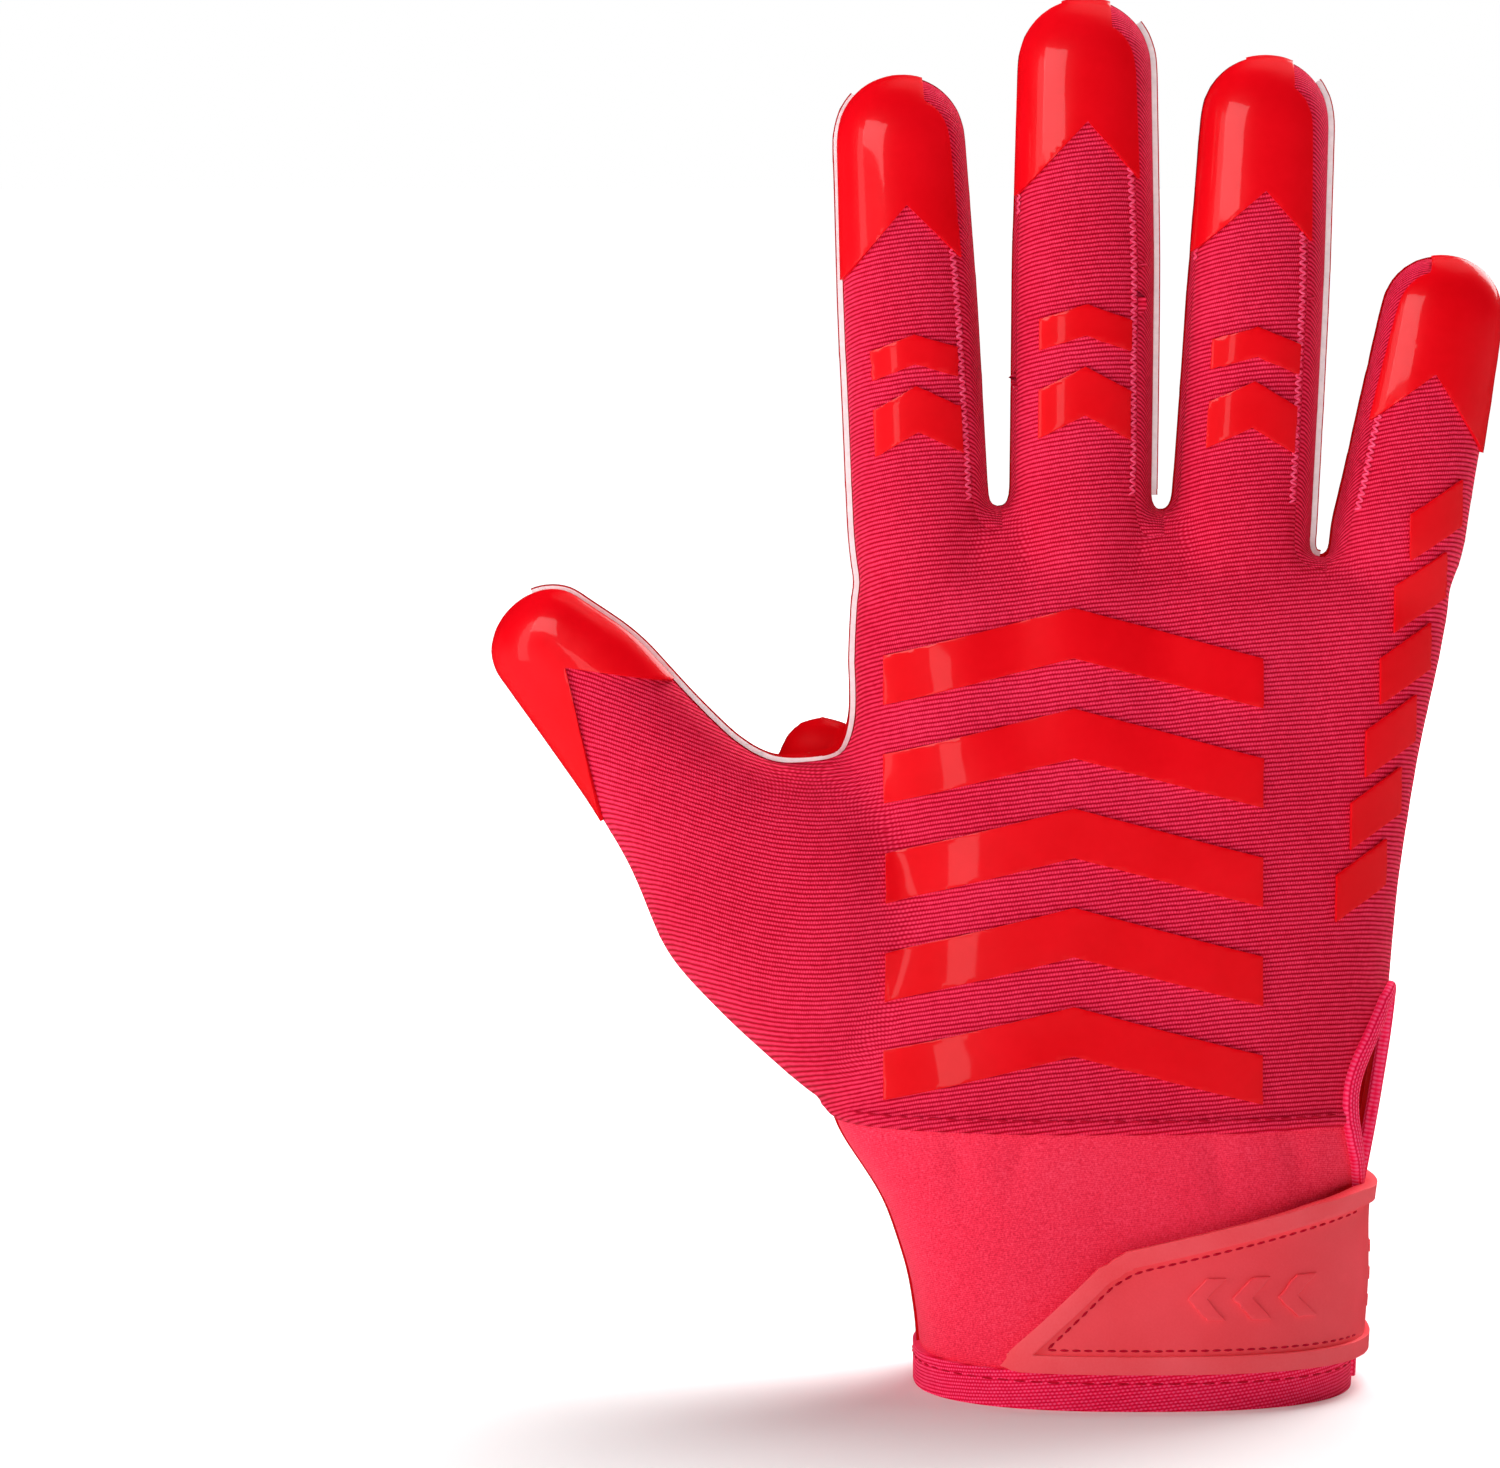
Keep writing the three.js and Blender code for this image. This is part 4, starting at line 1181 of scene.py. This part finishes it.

# %% [markdown]
# A knitted cloth is ribs of small stitches. A sine over a zigzag of v gives the ribs and a zigzag
# of u, shifted by half a stitch from rib to rib, gives the stitches. Noise makes them uneven. The
# colour is darker in the grooves and lighter on the crests, by rib height: painted shade.

# %% Knitted cloths
def knitted(name, rib, stitch_length, stops, depth, roughness, sheen=0.07, stitch_share=0.45,
            wander=0.35, grain=0.34, grain_scale=900, painted_shade_share=1.0):
    """A knitted cloth: ribs and stitches of the given pitch in millimetres."""
    material, shader = start_material(name, roughness, Sheen_Weight=sheen, Sheen_Roughness=0.45,
                                      Sheen_Tint=(1, 0.25, 0.35, 1), Specular_IOR_Level=0.05)
    place = node(material, "ShaderNodeUVMap", {}, uv_map="knit").outputs["UV"]
    axes = node(material, "ShaderNodeSeparateXYZ", {"Vector": place}).outputs
    drift = ("MULTIPLY", ("SUBTRACT", noise(material, 220), 0.5), wander)
    row = calc(material, "DIVIDE", ("ADD", axes["Y"], drift), rib)
    ribs = ("SINE", ("MULTIPLY", ("PINGPONG", row, 0.5), math.pi))
    column = ("ADD", ("DIVIDE", axes["X"], stitch_length), ("MULTIPLY", ("FLOOR", row), 0.5))
    loops = ("MULTIPLY", ("PINGPONG", column, 0.5), 2)
    height = calc(material, "MULTIPLY", ribs, ("MULTIPLY_ADD", loops, stitch_share, 1 - stitch_share))
    uneven = ("MULTIPLY_ADD", noise(material, grain_scale, 3), grain, -grain / 2)
    patchy = ("MULTIPLY_ADD", noise(material, 45, 3), 0.3, -0.15)
    # Colour by rib height, darker in the grooves and lighter on the crests, is painted shade, scaled by
    # the share given; uneven and patchy add random tone of the yarn.
    ribbed = ("MULTIPLY_ADD", height, painted_shade_share, 0.5 * (1 - painted_shade_share))
    shade = calc(material, "ADD", ("ADD", ribbed, uneven), patchy)
    coloured(material, shader, shade, stops)
    bumped(material, shader, height, 0.7, depth * mm)
    return material


# Each cloth's stops run from a dark groove to a light crest; that spread is painted shade.
ribbed_knit = knitted("ribbed_knit", 0.77, 0.5, [
    (0.05, (0.34, 0.0004, 0.009)), (0.4, (0.6, 0.002, 0.028)), (0.92, (0.98, 0.045, 0.13))], 0.26, 0.62)
cuff_cloth = knitted("cuff_cloth", 0.36, 0.34, [
    (0, (0.64, 0.006, 0.035)), (0.5, (0.92, 0.03, 0.075)), (1, (1, 0.08, 0.16))], 0.05, 0.55,
    sheen=0.12, wander=0.3, grain=1.4, grain_scale=3000, painted_shade_share=0.3)
binding_tape = knitted("binding_tape", 0.62, 0.8, [
    (0.05, (0.68, 0.003, 0.035)), (0.45, (0.98, 0.01, 0.08)), (0.92, (1, 0.1, 0.25))], 0.2, 0.6,
    stitch_share=0.6)
print("knitted cloths ready")

# %% [markdown]
# The silicone of the palm, caps and prints is clear and very glossy over a deep red, so a second
# clear layer lies on the colour. It was poured on cloth, so it ripples a little, and the ripples
# break up the reflections.

# %% Silicone and rubber
def silicone(name, dark, light, coat, ripple):
    material, shader = start_material(name, 0.3, Coat_Weight=coat, Coat_Roughness=0.05, Coat_IOR=1.4,
                                      Specular_IOR_Level=0.12)
    cloudy = two_noises(material, (60, 3, 0.8), (700, 2, 0.2))
    coloured(material, shader, cloudy, [(0.2, dark), (0.8, light)])
    bumped(material, shader, two_noises(material, (60, 2, 1), (540, 1, 0.06)), 0.5, ripple * mm)
    return material


print_silicone = silicone("print_silicone", (0.7, 0.0008, 0.004), (0.84, 0.003, 0.01), 0.5, 0.7)
palm_silicone = silicone("palm_silicone", (0.42, 0.0004, 0.002), (0.6, 0.001, 0.004), 0.8, 0.9)


def rubber(name, dark, light):
    material, shader = start_material(name, 0.42, Specular_IOR_Level=0.45)
    cloudy = two_noises(material, (90, 3, 0.7), (2500, 2, 0.3))
    coloured(material, shader, cloudy, [(0.25, dark), (0.75, light)])
    bumped(material, shader, noise(material, 3000), 0.25, 0.08 * mm)
    return material


strap_rubber = rubber("strap_rubber", (0.93, 0.045, 0.062), (1, 0.07, 0.095))
# The rim's rubber is a lighter copy of the strap's rubber: a painted highlight along the raised rim.
rim_rubber_painted_highlight = rubber("rim_rubber_painted_highlight", (0.96, 0.055, 0.072), (1, 0.1, 0.125))

# %% Thread and foam
def plain(name, dark, light, roughness, scale):
    material, shader = start_material(name, roughness, Specular_IOR_Level=0.1)
    coloured(material, shader, noise(material, scale, 3), [(0.3, dark), (0.7, light)])
    bumped(material, shader, noise(material, scale * 2), 0.4, 0.1 * mm)
    return material


seam_thread = plain("seam_thread", (0.88, 0.03, 0.11), (1, 0.13, 0.27), 0.6, 1500)
dark_thread = plain("dark_thread", (0.42, 0, 0.015), (0.6, 0.002, 0.03), 0.6, 1500)
foam = plain("foam", (0.88, 0.84, 0.85), (1, 0.97, 0.97), 0.8, 900)

# %% [markdown]
# Every piece now gets its finish, is bent with the hand, rides on the frame's one body and hides
# the CAD nodes that it stands for. Each row also names a slot, the finish in the CAD record that
# the piece takes; the loop doesn't use it.

# %% Finishes, bend and places in the frame
for piece in (skin, back_face, cap_face, wrist_skin):
    bpy.data.objects.remove(piece)
# The rim layer takes the lighter rubber, its painted highlight.
for layer in layers:
    layer.data.materials.append(rim_rubber_painted_highlight if layer.name == "strap_rim" else strap_rubber)
strap = joined(layers, "strap")

dressed = [  # piece, finish, slot, CAD nodes that it stands for
    (back, ribbed_knit, "ribbed_knit", ["back_panel"]),
    (cuff, cuff_cloth, "cuff_cloth", ["cuff_panel"]),
    (palm, palm_silicone, "palm_silicone", ["palm_panel"]),
    (gusset, ribbed_knit, "ribbed_knit", ["thumb_gusset"]),
    *[(piece, ribbed_knit, "ribbed_knit", [f"fourchette_{first}_{second}"])
      for piece, first, second in zip(fourchettes, names, names[1:])],
    (hem, binding_tape, "binding_tape", ["hem_binding"]),
    (vent, binding_tape, "binding_tape", ["vent_binding"]),
    (strap, None, "strap_rubber", ["wrist_strap"]),
    *[(piece, print_silicone, "print_silicone", [name])
      for name, piece in {**print_pieces, **caps}.items()],
    (palm_core, foam, "palm_silicone", []),
    (palm_film, palm_silicone, "palm_silicone", []),
    (finger_seams, seam_thread, "binding_tape", []),
    *[(piece, dark_thread, "binding_tape", []) for piece in (wrist_rows, gusset_thread, strap_thread)],
]

for piece, finish, slot, nodes in dressed:
    bend(piece)
    only(piece)
    bpy.ops.object.shade_smooth_by_angle(angle=math.radians(42))
    if finish:
        piece.data.materials.clear()
        piece.data.materials.append(finish)
    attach(piece, "root")
    if nodes:
        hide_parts(*nodes)
print("pieces:", len(dressed), "faces:", sum(len(piece.data.polygons) for piece, *_ in dressed))

# %% [markdown]
# The camera stands a metre away, a little above the glove, with a long lens, so that the frame
# holds the glove where the photograph has it.

# %% Camera
pixel = 0.178 * mm
photo_width, photo_height = 1500, 1468
glove_column, floor_row = 1135, 1388
frame_x = (photo_width / 2 - glove_column) * pixel
frame_z = (floor_row - photo_height / 2) * pixel
eye_height, eye_distance = 220 * mm, 1.0
camera = added(bpy.ops.object.camera_add, "camera", location=(frame_x, -eye_distance, eye_height))
drop = math.atan2(eye_height - frame_z, eye_distance)
camera.rotation_euler = (math.pi / 2 - drop, 0, 0)
reach = math.hypot(eye_distance, eye_height - frame_z)
camera.data.sensor_width = 36
camera.data.lens = 36 * reach / (photo_width * pixel)
bpy.context.scene.camera = camera
print(f"lens {camera.data.lens:.1f} mm, looking down {math.degrees(drop):.1f} degrees")

# %% [markdown]
# The light is a soft studio light. A tall box at the far left draws the upright highlights on the
# left of each finger and leaves the right in shade, a wide box above the camera lights the back
# of the hand, and a box overhead, to the right, lays a soft shadow on the floor to the left.
# %% Lights
def soft_box(name, place, aim_height, size, power, gloss=True, shadow=True):
    lamp = added(bpy.ops.object.light_add, name, type="AREA", location=place)
    lamp.data.shape = "RECTANGLE"
    lamp.data.size, lamp.data.size_y = size
    lamp.data.energy = power
    lamp.data.use_shadow = shadow
    lamp.visible_glossy = gloss
    aim = Vector((0, 0, aim_height)) - Vector(place)
    lamp.rotation_euler = aim.to_track_quat("-Z", "Y").to_euler()


soft_box("left_box", (-1.15, -0.42, 0.3), 0.14, (0.6, 1.1), 7.5, gloss=False)
soft_box("left_card", (-1.1, -0.5, 0.3), 0.14, (0.3, 1.0), 1.5)
soft_box("front_box", (-0.95, -1.05, 0.95), 0.12, (1.0, 0.7), 9.5, shadow=False)
soft_box("front_card", (-0.62, -1.4, 0.15), 0.1, (0.25, 0.6), 1.1)
soft_box("top_box", (0.3, 0.5, 1.15), 0, (0.9, 0.9), 20, gloss=False)
soft_box("back_box", (0.9, 1.1, 0.9), 0.12, (0.8, 0.8), 8)
print("soft boxes: 6")

# %% [markdown]
# The floor is self-lit: it glows, a little more with distance, which is painted light, and meets
# a white world, so that it has no edge from any side. Near the glove the glow is kept low, a
# painted shadow round the base. Neither shows in the gloss, which keeps the reds deep.

# %% World
world = bpy.data.worlds.new("studio")
world.use_nodes = True
world.node_tree.nodes["Background"].inputs["Color"].default_value = (1, 1, 1, 1)
world.cycles_visibility.diffuse = False
world.cycles_visibility.glossy = False
bpy.context.scene.world = world
bpy.context.scene.view_settings.view_transform = "Standard"
print("white all round")

# %% Floor
floor = added(bpy.ops.mesh.primitive_plane_add, "floor", size=60, location=(0, 0, 0))
edit(floor)
bpy.ops.mesh.subdivide(number_cuts=8)
leave_edit()
paper, shader = start_material("paper", 0.9, Specular_IOR_Level=0.1, Base_Color=(0.93, 0.93, 0.93, 1),
                               Emission_Color=(1, 1, 1, 1))
place = node(paper, "ShaderNodeTexCoord", {}).outputs["Object"]
from_base = node(paper, "ShaderNodeVectorMath", {0: place}, operation="LENGTH").outputs["Value"]


def glow(start, end, low, high):
    """A self-lit glow of the floor, painted light, that grows from low to high between two distances
    from the glove.
    """
    values = {"Value": from_base, "From Min": start, "From Max": end, "To Min": low, "To Max": high}
    return node(paper, "ShaderNodeMapRange", values).outputs["Result"]


# near keeps the glow low close to the glove, a painted shadow round its base; far is painted light that
# brightens the floor with distance.
near, far = glow(0.04, 0.2, 0.02, 0.32), glow(0.2, 1.2, 0.0, 0.75)
paper.node_tree.links.new(calc(paper, "ADD", near, far), shader.inputs["Emission Strength"])
floor.data.materials.append(paper)
floor.visible_glossy = False
print("floor ready")
